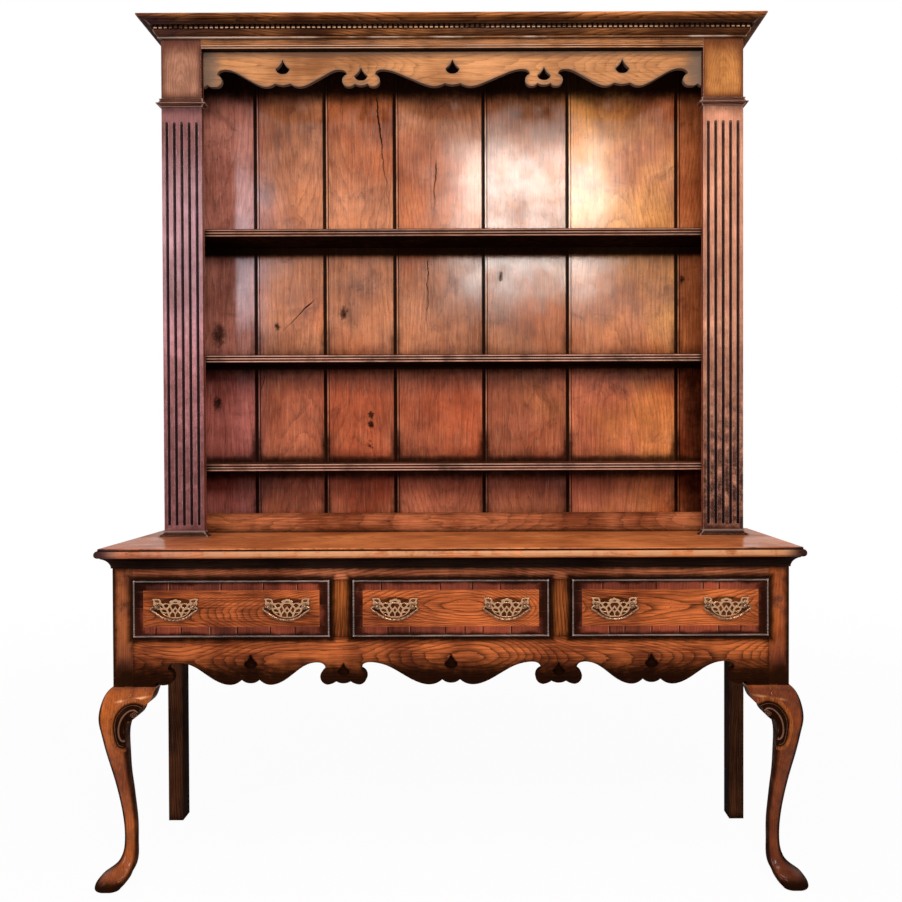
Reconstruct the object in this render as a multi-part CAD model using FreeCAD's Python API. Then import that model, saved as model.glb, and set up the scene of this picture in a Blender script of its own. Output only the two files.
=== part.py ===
import FreeCAD, Part
import math
import os
from FreeCAD import Vector

# An oak dresser: a three-drawer base on cabriole front legs with an open plate rack on its top.
# Millimetres, +Z up, front towards -Y, origin under the middle of the plan.
os.makedirs("parts", exist_ok=True)

# Base: top boards and carcass
TOP_W = 1750.0
TOP_D = 498.0
TOP_Z = 846.0
TOP_T = 24.0
TOP_LIP = 7.0          # upper step of the moulded edge
OVERHANG = 33.5
HALF = TOP_W / 2 - OVERHANG
FRONT = -TOP_D / 2 + OVERHANG
BACK = TOP_D / 2
UNDER_TOP = TOP_Z - TOP_T
POST = 50.0
REAR_W = 42.0
REAR_D = 60.0
RAIL_T = 22.0
KNEE_Z = 499.0         # foot of the square posts
EDGE_Z = KNEE_Z + 3.0  # lower edge of the apron and carcass ends
SIDE_T = 20.0
SIDE_INSET = 3.0
BACK_T = 12.0
BACK_INSET = 4.0
COVE_H = 27.0
COVE_OUT = 22.0
SOFT = 1.2             # worn arrises

# Drawers
OPEN_Z0 = 621.3
OPEN_Z1 = 765.3
OPEN_W = 491.0
MUNTIN_W = 55.0
DRAWER_STEP = OPEN_W + MUNTIN_W
DRAWERS = {"left": -DRAWER_STEP, "middle": 0.0, "right": DRAWER_STEP}
DRAWER_GAP = 1.5
BEAD_W = 4.0
BEAD_OUT = 3.0
BEAD_IN = 12.0
BAND_W = 21.0
BAND_T = 1.5
LINING = 10.0
TAIL = 9.0
BOTTOM_T = 8.0
BOTTOM_UP = 6.0
GROOVE = 5.0
DRAWER_END = 218.0
STOP_T = 14.5

# Handles
HANDLE_X = 139.0
HANDLE_Z = 699.0
BOLT_X = 44.5
PLATE_T = 2.0
PIVOT_OUT = 10.5
KNOB_R = 5.2
SHANK_R = 2.5
PIN_R = 1.6
ROD_R = 2.4
RUN_FIT = 0.1

# Rack
RACK_HALF = 804.0
RACK_SIDE_T = 27.0
PILASTER_W = 111.0
PILASTER_T = 22.0
PILASTER_Y = FRONT + 274.0
RACK_Y = PILASTER_Y + PILASTER_T
RACK_IN = RACK_HALF - RACK_SIDE_T
BAY_IN = RACK_HALF - PILASTER_W
RACK_TOP = 2250.0
RACK_BACK_T = 12.0
SHELVES = {"lower": 1047.0, "middle": 1351.0, "upper": 1702.0}
SHELF_T = 22.5
REEDS = 3
CORNICE_Z = 2219.5
CORNICE_OUT = 52.0
CORNICE_TOP = 2269.0
DENTIL_Z0 = 2240.5
DENTIL_H = 10.0
DENTIL_FACE = 17.0
DENTIL_OUT = 5.0
DENTIL_PITCH = 14.0
BOARD_JOINTS = (-587.0, -383.0, -176.0, 86.0, 334.0, 655.0)


def box(x0, x1, y0, y1, z0, z1):
    return Part.makeBox(x1 - x0, y1 - y0, z1 - z0, Vector(x0, y0, z0))


def soften(shape, radius, wanted):
    """Rounds the edges whose middle point and direction satisfy the test."""
    edges = []
    for edge in shape.Edges:
        if isinstance(edge.Curve, Part.Line):
            ends = [v.Point for v in edge.Vertexes]
            if wanted((ends[0] + ends[1]) * 0.5, (ends[1] - ends[0]).normalize()):
                edges.append(edge)
    return shape.makeFillet(radius, edges)


def front_soft(x0, x1, y0, y1, z0, z1, radius=SOFT):
    """A board whose four front arrises are worn round."""
    return soften(box(x0, x1, y0, y1, z0, z1), radius, lambda m, d: abs(m.y - y0) < 0.01)


def flip(shape):
    return shape.mirror(Vector(0, 0, 0), Vector(1, 0, 0))


def save(name, *shapes):
    shape = shapes[0] if len(shapes) == 1 else Part.makeCompound(list(shapes))
    shape.exportStep("parts/" + name + ".step")


def xz(point, y=0.0):
    return Vector(point[0], y, point[1])


def line(a, b, to):
    return Part.LineSegment(to(a), to(b)).toShape()


def arc(a, m, b, to):
    return Part.Arc(to(a), to(m), to(b)).toShape()


def curve(points, to):
    spline = Part.BSplineCurve()
    spline.interpolate([to(p) for p in points])
    return spline.toShape()


def path_face(steps, to=xz):
    """Face inside a closed run of steps: two points a line, three an arc, more a smooth curve."""
    edges = []
    for step in steps:
        if len(step) == 2:
            edges.append(line(step[0], step[1], to))
        elif len(step) == 3:
            edges.append(arc(step[0], step[1], step[2], to))
        else:
            edges.append(curve(step, to))
    return Part.Face(Part.Wire(edges))


def polygon(points, to=xz):
    return Part.Face(Part.makePolygon([to(p) for p in points] + [to(points[0])]))


def mirror_steps(steps):
    """Continues a run of steps, drawn from the middle outwards, on the other side of the middle."""
    return [[(-x, z) for x, z in reversed(step)] for step in reversed(steps)] + steps


def moulding(steps, corners):
    """Runs a profile (distance out, height) along plan corners: one mitred length for each straight."""
    points = [Vector(x, y, 0) for x, y in corners]
    runs = [(b - a).normalize() for a, b in zip(points, points[1:])]
    outs = [Vector(run.y, -run.x, 0) for run in runs]
    reach = 100.0
    low, high = min(p[1] for s in steps for p in s) - 1, max(p[1] for s in steps for p in s) + 1
    lengths = []
    for n, out in enumerate(outs):
        a, b = points[n], points[n + 1]
        before = outs[n - 1] if n > 0 else out
        after = outs[n + 1] if n + 1 < len(outs) else out
        near = out if n == 0 else out + before
        far = out if n + 1 == len(outs) else out + after
        start = a - runs[n] * reach
        face = path_face(steps, lambda p: start + out * p[0] + Vector(0, 0, p[1]))
        bar = face.extrude(b + runs[n] * reach - start)
        plan = [a, b, b + far * reach, a + near * reach]
        wedge = Part.Face(Part.makePolygon(plan + [a])).extrude(Vector(0, 0, high - low))
        wedge.translate(Vector(0, 0, low))
        lengths.append(bar.common(wedge))
    return lengths


def spade(x, z, half, up, down):
    """Outline of the spade-shaped drop: a pointed top with hollow shoulders and a round bottom."""
    shoulder, belly = half * 0.42, half * 0.66
    return [[(x, z + up), (x + shoulder, z + up * 0.4), (x + half, z)],
            [(x + half, z), (x + belly, z - down * 0.74), (x, z - down)],
            [(x, z - down), (x - belly, z - down * 0.74), (x - half, z)],
            [(x - half, z), (x - shoulder, z + up * 0.4), (x, z + up)]]


def scallops(low, arch, cusp, lobe, bracket, half_bracket, end_hook, end):
    """Shaped lower edge of the apron and valance, from the middle to one end.

    Three-lobed drops hang at 0 and at lobe; hooked brackets hang at bracket and at the end.
    """
    tip = low + (arch - low) * 0.72
    bulge = low + (arch - low) * 0.3

    def rise(x, to_x, turn):
        """From the cusp beside a drop, round its lobe and over the arch to the hook of a bracket."""
        s = 1.0 if to_x > x else -1.0
        span = abs(to_x - x)
        top = span - turn
        return [(x + s * 22, cusp), (x + s * 50, low + 1), (x + s * (50 + (top - 50) * 0.36), low + 15),
                (x + s * (50 + (top - 50) * 0.72), arch - 12), (x + s * top, arch),
                (x + s * (span - 4), arch - 5), (x + s * span, tip)]

    def drop(x):
        return [[(x - 22, cusp), (x - 12, low + 7), (x, low + 5)],
                [(x, low + 5), (x + 12, low + 7), (x + 22, cusp)]]

    def cheek(x, s):
        """Side of a bracket from the hook to the cusp beneath it."""
        w = half_bracket
        return [[(x + s * (w - 13), tip), (x + s * w, bulge), (x + s * (w - 18), low + 1)],
                [(x + s * (w - 18), low + 1), (x + s * (w - 28), low + 3), (x + s * 18, low + 9)]]

    def back(steps):
        return [list(reversed(step)) for step in reversed(steps)]

    hook = half_bracket - 13
    left = cheek(bracket, -1.0)
    right = back(cheek(bracket, 1.0))
    run = [drop(0.0)[1], rise(0.0, bracket - hook, 34.0)] + left
    run += [[(bracket - 18, low + 9), (bracket, low + 4), (bracket + 18, low + 9)]] + right
    run += [list(reversed(rise(lobe, bracket + hook, 30.0)))] + drop(lobe)
    run += [rise(lobe, end_hook, 36.0)]
    run += [[(end_hook, tip), (end_hook - 13, bulge), (end_hook + 7, low + 1)],
            [(end_hook + 7, low + 1), (end_hook + 20, low + 2), (end_hook + 27, low + 7)],
            [(end_hook + 27, low + 7), (end_hook + 36, low)], [(end_hook + 36, low), (end, low)]]
    return run


# Top of the base: boards with a stepped and bull-nosed edge on the front and both ends
slab_z = TOP_Z - 5.0
slab = soften(box(-TOP_W / 2, TOP_W / 2, -TOP_D / 2, BACK, UNDER_TOP, slab_z), 8.5,
              lambda m, d: m.y < BACK - 1 and abs(d.z) < 0.5 and (abs(d.x) < 0.5 or m.y < 0))
lip = soften(box(-TOP_W / 2 + TOP_LIP, TOP_W / 2 - TOP_LIP, -TOP_D / 2 + TOP_LIP, BACK, slab_z - 4, TOP_Z), 2.0,
             lambda m, d: m.z > TOP_Z - 0.1 and m.y < BACK - 1)
save("top_boards", slab.fuse(lip).removeSplitter())

# Cove moulding mitred round the carcass under the top
cove_z = UNDER_TOP - COVE_H
carcass_plan = [(-HALF, BACK), (-HALF, FRONT), (HALF, FRONT), (HALF, BACK)]
hollow = COVE_OUT - 4.0
cove = [[(0, cove_z), (3, cove_z)], [(3, cove_z), (3, cove_z + 4)],
        [(3, cove_z + 4), (3 + hollow * 0.32, cove_z + 4 + hollow * 0.68), (3 + hollow, UNDER_TOP - 2)],
        [(3 + hollow, UNDER_TOP - 2), (COVE_OUT, UNDER_TOP - 2)],
        [(COVE_OUT, UNDER_TOP - 2), (COVE_OUT, UNDER_TOP)],
        [(COVE_OUT, UNDER_TOP), (0, UNDER_TOP)], [(0, UNDER_TOP), (0, cove_z)]]
save("top_cove", *moulding(cove, carcass_plan))

# Cabriole front legs: height, reach outside the post corner, reach inside it, toe and side roundness
LEG = ((KNEE_Z, 2.5, 50.0, 3.0, 3.0), (468.0, 22.0, 50.0, 9.0, 6.0), (440.0, 29.0, 44.5, 14.0, 10.0),
       (410.0, 29.5, 37.5, 16.0, 13.0), (369.0, 23.0, 34.0, 17.0, 16.0), (325.0, 15.0, 35.5, 17.0, 17.0),
       (280.0, 5.5, 37.5, 16.5, 16.5), (235.0, -3.0, 41.5, 15.5, 15.5), (190.0, -10.0, 45.0, 14.5, 14.5),
       (147.0, -14.5, 47.5, 13.8, 13.8), (104.0, -15.5, 47.5, 13.5, 13.5), (72.0, -11.0, 48.0, 15.0, 15.0),
       (52.0, 0.0, 47.0, 19.0, 19.0), (38.0, 18.0, 43.0, 24.0, 24.0), (23.0, 37.0, 37.0, 27.0, 28.0),
       (11.0, 41.5, 29.0, 25.0, 27.0), (3.0, 39.5, 21.0, 22.0, 24.0), (0.0, 36.0, 18.5, 20.0, 21.0))


def leg_section(z, out, into, toe, side):
    a, b, k = -out, into, math.sqrt(0.5)
    radii = [(a, a, toe), (b, a, side), (b, b, side), (a, b, side)]
    arcs = []
    for x, y, r in radii:
        cx = x + r if x == a else x - r
        cy = y + r if y == a else y - r
        sx, sy = (-1 if x == a else 1), (-1 if y == a else 1)
        flat, up = Vector(cx + sx * r, cy, z), Vector(cx, cy + sy * r, z)
        mid = Vector(cx + sx * r * k, cy + sy * r * k, z)
        first, last = (flat, up) if sx * sy > 0 else (up, flat)
        arcs.append(Part.Arc(first, mid, last))
    edges = []
    for n, piece in enumerate(arcs):
        follow = arcs[(n + 1) % 4]
        edges.append(piece.toShape())
        edges.append(Part.LineSegment(piece.EndPoint, follow.StartPoint).toShape())
    return Part.Wire(edges)


shank = Part.makeLoft([leg_section(*row) for row in LEG], True, False)
post = soften(box(0, POST, 0, POST, KNEE_Z, UNDER_TOP), SOFT, lambda m, d: abs(d.z) > 0.9)
leg = post.fuse(shank)

# Knee ears: shaped blocks glued to both inner sides of each knee
EAR_END = 110.0
ear_outline = path_face([[(30, EDGE_Z), (EAR_END, EDGE_Z)],
                         [(EAR_END, EDGE_Z), (103, 484), (96, 468), (85, 457), (73, 447.5)],
                         [(73, 447.5), (69, 437), (59, 425.5), (41, 415)],
                         [(41, 415), (30, 415)], [(30, 415), (30, EDGE_Z)]], lambda p: Vector(p[0], -40, p[1]))
ear_side = path_face([[(-2.5, EDGE_Z), (-21, 472)], [(-21, 472), (-26.5, 452), (-27.5, 425), (-23, 405)],
                      [(-23, 405), (38, 405)], [(38, 405), (38, EDGE_Z)], [(38, EDGE_Z), (-2.5, EDGE_Z)]],
                     lambda p: Vector(30, p[0], p[1]))
ear_plan = path_face([[(30, -30), (75, -22), (EAR_END + 1, -4)], [(EAR_END + 1, -4), (EAR_END + 1, 34)],
                      [(EAR_END + 1, 34), (30, 34)], [(30, 34), (30, -30)]],
                     lambda p: Vector(p[0], p[1], 400))
ear = ear_outline.extrude(Vector(0, 90, 0)).common(ear_side.extrude(Vector(90, 0, 0)))
ear = ear.common(ear_plan.extrude(Vector(0, 0, 110))).cut(leg)
ears = [ear, ear.mirror(Vector(0, 0, 0), Vector(1, -1, 0))]

to_left = Vector(-HALF, FRONT, 0)
leg.translate(to_left)
for piece in ears:
    piece.translate(to_left)
save("front_leg_left", leg)
save("front_leg_right", flip(leg))
save("knee_ears", *ears, *[flip(piece) for piece in ears])

# Straight square rear legs
rear = soften(box(-HALF, -HALF + REAR_W, BACK - REAR_D, BACK, 0, UNDER_TOP), SOFT, lambda m, d: abs(d.z) > 0.9)
save("rear_leg_left", rear)
save("rear_leg_right", flip(rear))

# Carcass front: top rail, muntins between the drawers and the shaped apron
POST_IN = HALF - POST
save("front_top_rail", front_soft(-POST_IN, POST_IN, FRONT, FRONT + RAIL_T, OPEN_Z1, UNDER_TOP))
muntin_x = DRAWER_STEP / 2
muntin = front_soft(muntin_x - MUNTIN_W / 2, muntin_x + MUNTIN_W / 2, FRONT, FRONT + RAIL_T, OPEN_Z0, OPEN_Z1)
save("muntins", muntin, flip(muntin))

APRON_LOBE = 499.0
APRON_BRACKET = 268.0
wave = mirror_steps(scallops(EDGE_Z, 558.0, 515.4, APRON_LOBE, APRON_BRACKET, 57.5, 705.0, POST_IN))
wave += [[(POST_IN, EDGE_Z), (POST_IN, OPEN_Z0)], [(POST_IN, OPEN_Z0), (-POST_IN, OPEN_Z0)],
         [(-POST_IN, OPEN_Z0), (-POST_IN, EDGE_Z)]]
apron = path_face(wave, lambda p: xz(p, FRONT)).extrude(Vector(0, RAIL_T, 0))
DROP_DEPTH = 9.0
spades = [spade(s * APRON_LOBE, 556.0, 16.5, 24.0, 13.0) for s in (-1, 0, 1)]
spades += [spade(s * APRON_BRACKET, 537.0, 15.5, 21.0, 12.0) for s in (-1, 1)]
for drop_steps in spades:
    apron = apron.cut(path_face(drop_steps, lambda p: xz(p, FRONT)).extrude(Vector(0, DROP_DEPTH, 0)))
save("apron", apron)

# Carcass ends and back
side_x = HALF - SIDE_INSET
side = box(-side_x, -side_x + SIDE_T, FRONT + POST, BACK - REAR_D, EDGE_Z, UNDER_TOP)
save("base_side_left", side)
save("base_side_right", flip(side))
back_y = BACK - BACK_INSET - BACK_T
save("base_back", box(-HALF + REAR_W, HALF - REAR_W, back_y, back_y + BACK_T, 560.0, UNDER_TOP))

# Runners that carry the drawers, with guides beside them, and stops at the back
RUNNER_T = 16.0
GUIDE_H = 30.0
runner_z = OPEN_Z0 - RUNNER_T
strips = [box(-POST_IN, -POST_IN + 36, FRONT + RAIL_T, back_y, runner_z, OPEN_Z0),
          box(-side_x + SIDE_T, -POST_IN, FRONT + POST, BACK - REAR_D, runner_z, OPEN_Z0 + GUIDE_H),
          box(-muntin_x - 55, -muntin_x + 55, FRONT + RAIL_T, back_y, runner_z, OPEN_Z0),
          box(-muntin_x - MUNTIN_W / 2, -muntin_x + MUNTIN_W / 2, FRONT + RAIL_T, back_y,
              OPEN_Z0, OPEN_Z0 + GUIDE_H)]
save("drawer_runners", *strips, *[flip(strip) for strip in strips])
stops = []
for drawer_x in DRAWERS.values():
    for offset in (-120.0, 120.0):
        stops.append(box(drawer_x + offset - 20, drawer_x + offset + 20, back_y - STOP_T, back_y, 660.0, 700.0))
save("drawer_stops", *stops)

# Pierced brass back plates: half outline from the crest over the ear and round the willow-shaped bottom
PLATE_EDGE = ((0, 18.5), (4.5, 17.4), (6.5, 15.8), (11, 15.4), (15, 12.2), (11.5, 8.6), (17, 7.6), (24, 9.2),
              (31, 7.2), (35.5, 9.5), (35.5, 14), (38, 18.8), (47, 20), (57.5, 19.5), (54, 13), (55.5, 8),
              (52.5, 0), (50, -5.5), (44.5, -8), (38, -7), (36.5, -12), (31, -18.5), (22, -24.5), (13, -27.5),
              (12, -29.5), (0, -29))
PLATE_MIDDLE_HOLES = (((-7.2, 6), (0, 6.8), (7.2, 6), (11.2, 1.6), (6.1, -7.5), (0, 0.6), (-6.1, -7.5),
                       (-11.2, 1.6)),
                      ((0, -5.2), (3.9, -10.6), (0, -15), (-3.9, -10.6)),
                      ((-6, 10), (-3, 12.6), (3, 12.6), (6, 10), (0, 9.2)))
PLATE_SIDE_HOLES = (((13.6, -1.4), (18.6, -6.2), (14.9, -16), (9.2, -10.2)),
                    ((16.2, 1.8), (18, 5.2), (22.4, 7), (26.6, 5.4), (29, 1.6), (25.8, -1.2), (22, -3.6)),
                    ((1.5, -18.6), (6.5, -13), (13, -20), (12, -25.6), (1.5, -26)),
                    ((22.9, -8.5), (29.5, -6.3), (34.2, -8.8), (31.2, -12.8), (25.5, -14.6), (20.6, -13.6)),
                    ((18, -20.2), (20.2, -16), (26, -17), (30.4, -15.9), (25, -20.6), (17.2, -24.2)),
                    ((30.2, -1.5), (33, 2.5), (36.9, 4.4), (36.4, -1.5), (33.5, -4.2)),
                    ((39, 11), (40.5, 15.5), (46, 17), (51.5, 16), (49.5, 11.5), (44, 9.5)))
# Half of the bail: from the middle of its bow round the swan neck to the pin
BAIL_PATH = ((0, -32.5), (17, -30.3), (30, -25.2), (41, -18), (49, -12), (54.5, -8.6), (57.2, -4.8), (55, -1.3),
             (51.2, 0))


def handle_plate(x):
    edge = list(PLATE_EDGE) + [(-u, w) for u, w in reversed(PLATE_EDGE[1:-1])]
    holes = list(PLATE_MIDDLE_HOLES)
    for hole in PLATE_SIDE_HOLES:
        holes.append(hole)
        holes.append(tuple((-u, w) for u, w in hole))

    def to(p):
        return Vector(x + p[0], FRONT - PLATE_T, HANDLE_Z + p[1])

    cut = [Part.Wire(Part.makePolygon([to(p) for p in hole] + [to(hole[0])])) for hole in holes]
    for s in (-1, 1):
        cut.append(Part.Wire(Part.Circle(to((s * BOLT_X, 0)), Vector(0, 1, 0), SHANK_R + RUN_FIT).toShape()))
    face = polygon(edge, to)
    for wire in cut:
        face = face.cut(Part.Face(wire))
    return face.extrude(Vector(0, PLATE_T, 0))


def rod(x, y0, y1, radius):
    return Part.makeCylinder(radius, y1 - y0, Vector(x, y0, HANDLE_Z), Vector(0, 1, 0))


def handle_post(x):
    """Turned post with a round head bored for the bail, its shank through the drawer front and a nut."""
    nut_y = FRONT + RAIL_T
    pivot = Vector(x, FRONT - PIVOT_OUT, HANDLE_Z)
    face_y = FRONT - PLATE_T
    piece = rod(x, face_y - 2, face_y, 6.5).fuse(rod(x, FRONT - PIVOT_OUT, face_y, 3.4))
    piece = piece.fuse(Part.makeSphere(KNOB_R, pivot)).fuse(rod(x, face_y, nut_y + 7, SHANK_R))
    piece = piece.fuse(box(x - 5.5, x + 5.5, nut_y, nut_y + 4, HANDLE_Z - 5.5, HANDLE_Z + 5.5))
    bore = Part.makeCylinder(PIN_R + RUN_FIT, 4 * KNOB_R, pivot - Vector(2 * KNOB_R, 0, 0), Vector(1, 0, 0))
    return piece.cut(bore)


def handle_bail(x):
    """Swan-neck bail hanging from its two pins."""
    y = FRONT - PIVOT_OUT

    def to(p):
        return Vector(x + p[0], y, HANDLE_Z + p[1])

    points = [(-u, w) for u, w in reversed(BAIL_PATH[1:])] + list(BAIL_PATH)
    spline = Part.BSplineCurve()
    spline.interpolate([to(p) for p in points])
    spine = Part.Wire(spline.toShape())
    ring = Part.Wire(Part.Circle(to(points[0]), Vector(1, 0, 0), ROD_R).toShape())
    bail = spine.makePipeShell([ring], True, False)
    reach = points[-1][0]
    for s in (-1, 1):
        pin = Part.makeCylinder(PIN_R, reach - BOLT_X + 4.0, to((s * reach, 0)), Vector(-s, 0, 0))
        bail = bail.fuse(pin)
    return bail


def drawer(name, x):
    half = OPEN_W / 2 - DRAWER_GAP
    z0, z1 = OPEN_Z0 + DRAWER_GAP, OPEN_Z1 - DRAWER_GAP
    inside = FRONT + RAIL_T
    tag = "drawer_" + name + "_"

    def ring(outer_in, inner_in, y0, y1):
        """Four strips mitred round the edge of the front."""
        o = [(x - half + outer_in, z0 + outer_in), (x + half - outer_in, z0 + outer_in),
             (x + half - outer_in, z1 - outer_in), (x - half + outer_in, z1 - outer_in)]
        i = [(x - half + inner_in, z0 + inner_in), (x + half - inner_in, z0 + inner_in),
             (x + half - inner_in, z1 - inner_in), (x - half + inner_in, z1 - inner_in)]
        strips = []
        for n in range(4):
            m = (n + 1) % 4
            face = polygon([o[n], o[m], i[m], i[n]], lambda p: xz(p, y0))
            strips.append(face.extrude(Vector(0, y1 - y0, 0)))
        return strips

    bead_y = FRONT - BEAD_OUT
    rebate = ring(0, BEAD_W, FRONT, FRONT + BEAD_IN)
    beads = []
    for strip in ring(0, BEAD_W, bead_y, FRONT + BEAD_IN):
        beads.append(soften(strip, BEAD_W / 2 - 0.2, lambda m, d: abs(m.y - bead_y) < 0.01
                            and abs(d.x) + abs(d.z) < 1.01))
    save(tag + "cockbead", *beads)
    band = ring(BEAD_W, BEAD_W + BAND_W, FRONT, FRONT + BAND_T)
    save(tag + "banding", *band)

    # linings dovetailed into the front, with the bottom let into grooves
    bottom = box(x - half + LINING - GROOVE, x + half - LINING + GROOVE, inside - GROOVE, DRAWER_END,
                 z0 + BOTTOM_UP, z0 + BOTTOM_UP + BOTTOM_T)
    side_z1 = z1 - 6.0
    sides = []
    tails = 4
    pitch = (side_z1 - z0) / tails
    for s in (-1, 1):
        xs = sorted((x + s * half, x + s * (half - LINING)))
        lining = box(xs[0], xs[1], inside, DRAWER_END, z0, side_z1)
        for n in range(tails):
            z = z0 + pitch * (n + 0.5)
            tail = polygon([(inside, z - 9), (inside - TAIL, z - 12), (inside - TAIL, z + 12), (inside, z + 9)],
                           lambda p: Vector(xs[0], p[0], p[1]))
            lining = lining.fuse(tail.extrude(Vector(LINING, 0, 0)))
        sides.append(lining.removeSplitter())
    board = box(x - half, x + half, FRONT, inside, z0, z1).cut(rebate + band + sides + [bottom])
    handles = (x - HANDLE_X, x + HANDLE_X)
    bolts = [h + s * BOLT_X for h in handles for s in (-1, 1)]
    for bolt in bolts:
        board = board.cut(rod(bolt, FRONT - 1, inside + 1, SHANK_R + RUN_FIT))
    save(tag + "front", board)
    save(tag + "sides", *[lining.cut(bottom) for lining in sides])
    save(tag + "bottom", bottom)
    save(tag + "back", box(x - half + LINING, x + half - LINING, DRAWER_END - LINING, DRAWER_END,
                           z0 + BOTTOM_UP + BOTTOM_T, z1 - 14.0))
    save(tag + "plates", *[handle_plate(h) for h in handles])
    save(tag + "posts", *[handle_post(bolt) for bolt in bolts])
    save(tag + "bail_left", handle_bail(handles[0]))
    save(tag + "bail_right", handle_bail(handles[1]))


for drawer_name, drawer_x in DRAWERS.items():
    drawer(drawer_name, drawer_x)

# Rack ends and fluted pilasters
rack_side = box(-RACK_HALF, -RACK_IN, RACK_Y, BACK, TOP_Z, RACK_TOP)
save("rack_side_left", rack_side)
save("rack_side_right", flip(rack_side))

FLUTES = 5
FLUTE_R = 4.5
FLUTE_PITCH = 20.5
FLUTE_Z0 = 880.0
FLUTE_Z1 = 1988.0
pilaster = front_soft(-RACK_HALF, -BAY_IN, PILASTER_Y, RACK_Y, TOP_Z, RACK_TOP)
for n in range(FLUTES):
    flute_x = -RACK_HALF + PILASTER_W / 2 + (n - (FLUTES - 1) / 2) * FLUTE_PITCH
    foot, head = Vector(flute_x, PILASTER_Y, FLUTE_Z0), Vector(flute_x, PILASTER_Y, FLUTE_Z1)
    flute = Part.makeCylinder(FLUTE_R, FLUTE_Z1 - FLUTE_Z0, foot)
    flute = flute.fuse([Part.makeSphere(FLUTE_R, foot), Part.makeSphere(FLUTE_R, head)])
    pilaster = pilaster.cut(flute)
save("pilaster_left", pilaster)
save("pilaster_right", flip(pilaster))

# Plinth and capital mouldings mitred round the pilasters and along the rack ends
around = [(-RACK_HALF, BACK), (-RACK_HALF, PILASTER_Y), (-BAY_IN, PILASTER_Y), (-BAY_IN, RACK_Y)]
plinth = [[(0, TOP_Z), (12, TOP_Z)], [(12, TOP_Z), (12, TOP_Z + 4)],
          [(12, TOP_Z + 4), (5, TOP_Z + 7), (2, TOP_Z + 13)],
          [(2, TOP_Z + 13), (2, TOP_Z + 16)], [(2, TOP_Z + 16), (0, TOP_Z + 16)], [(0, TOP_Z + 16), (0, TOP_Z)]]
CAPITAL_Z = 2033.0
capital = [[(0, CAPITAL_Z), (2.5, CAPITAL_Z)],
           [(2.5, CAPITAL_Z), (4.5, CAPITAL_Z + 4.5), (10, CAPITAL_Z + 7)],
           [(10, CAPITAL_Z + 7), (12, CAPITAL_Z + 7.5)], [(12, CAPITAL_Z + 7.5), (12, CAPITAL_Z + 9.5)],
           [(12, CAPITAL_Z + 9.5), (6.5, CAPITAL_Z + 12), (4, CAPITAL_Z + 17)],
           [(4, CAPITAL_Z + 17), (4, CAPITAL_Z + 19.5)],
           [(4, CAPITAL_Z + 19.5), (5, CAPITAL_Z + 21), (4, CAPITAL_Z + 22.5)],
           [(4, CAPITAL_Z + 22.5), (0, CAPITAL_Z + 22.5)], [(0, CAPITAL_Z + 22.5), (0, CAPITAL_Z)]]
trims = moulding(plinth, around) + moulding(capital, around)
save("pilaster_mouldings", *trims, *[flip(trim) for trim in trims])

# Shelves with reeded front edges
REED = SHELF_T / REEDS
REED_OUT = 2.6
board_y = BACK - RACK_BACK_T


def yz(p):
    return Vector(-RACK_IN, p[0], p[1])


for shelf_name, top in SHELVES.items():
    y = RACK_Y + REED_OUT
    steps = [[(y, top), (board_y, top)], [(board_y, top), (board_y, top - SHELF_T)],
             [(board_y, top - SHELF_T), (y, top - SHELF_T)]]
    for n in range(REEDS):
        z = top - SHELF_T + n * REED
        steps.append([(y, z), (RACK_Y, z + REED / 2), (y, z + REED)])
    save("shelf_" + shelf_name, path_face(steps, yz).extrude(Vector(2 * RACK_IN, 0, 0)))

save("rack_bottom_rail", front_soft(-RACK_IN, RACK_IN, PILASTER_Y + 110, PILASTER_Y + 128, TOP_Z, TOP_Z + 54))
RACK_TOP_T = 22.0
save("rack_top_board", box(-RACK_IN, RACK_IN, RACK_Y, board_y, RACK_TOP - RACK_TOP_T, RACK_TOP))

# Shaped and pierced valance behind the frieze rail
VALANCE_T = 16.0
VALANCE_LOW = 2096.0
VALANCE_LOBE = 473.0
VALANCE_BRACKET = 255.0
valance_z1 = RACK_TOP - RACK_TOP_T
wave = mirror_steps(scallops(VALANCE_LOW, 2143.0, 2105.6, VALANCE_LOBE, VALANCE_BRACKET, 52.0, 656.0, RACK_IN))
wave += [[(RACK_IN, VALANCE_LOW), (RACK_IN, valance_z1)], [(RACK_IN, valance_z1), (-RACK_IN, valance_z1)],
         [(-RACK_IN, valance_z1), (-RACK_IN, VALANCE_LOW)]]
valance = path_face(wave, lambda p: xz(p, RACK_Y)).extrude(Vector(0, VALANCE_T, 0))
spades = [spade(s * VALANCE_LOBE, 2145.5, 19.5, 26.0, 14.0) for s in (-1, 0, 1)]
spades += [spade(s * VALANCE_BRACKET, 2126.0, 18.5, 24.0, 13.0) for s in (-1, 1)]
for drop_steps in spades:
    valance = valance.cut(path_face(drop_steps, lambda p: xz(p, RACK_Y)).extrude(Vector(0, VALANCE_T, 0)))
save("valance", valance)

# Frieze rail with two beads along its lower edge
RAIL_Z = 2192.0
BEAD_R = 3.0
y = PILASTER_Y + 1.5
steps = [[(y, RAIL_Z + 4 * BEAD_R), (PILASTER_Y, RAIL_Z + 4 * BEAD_R)],
         [(PILASTER_Y, RAIL_Z + 4 * BEAD_R), (PILASTER_Y, RACK_TOP)],
         [(PILASTER_Y, RACK_TOP), (RACK_Y, RACK_TOP)],
         [(RACK_Y, RACK_TOP), (RACK_Y, RAIL_Z)], [(RACK_Y, RAIL_Z), (y, RAIL_Z)]]
for n in range(2):
    z = RAIL_Z + 2 * BEAD_R * n
    steps.append([(y, z), (y - BEAD_R, z + BEAD_R), (y, z + 2 * BEAD_R)])
save("frieze_rail", path_face(steps, lambda p: Vector(-BAY_IN, p[0], p[1])).extrude(Vector(2 * BAY_IN, 0, 0)))

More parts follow.
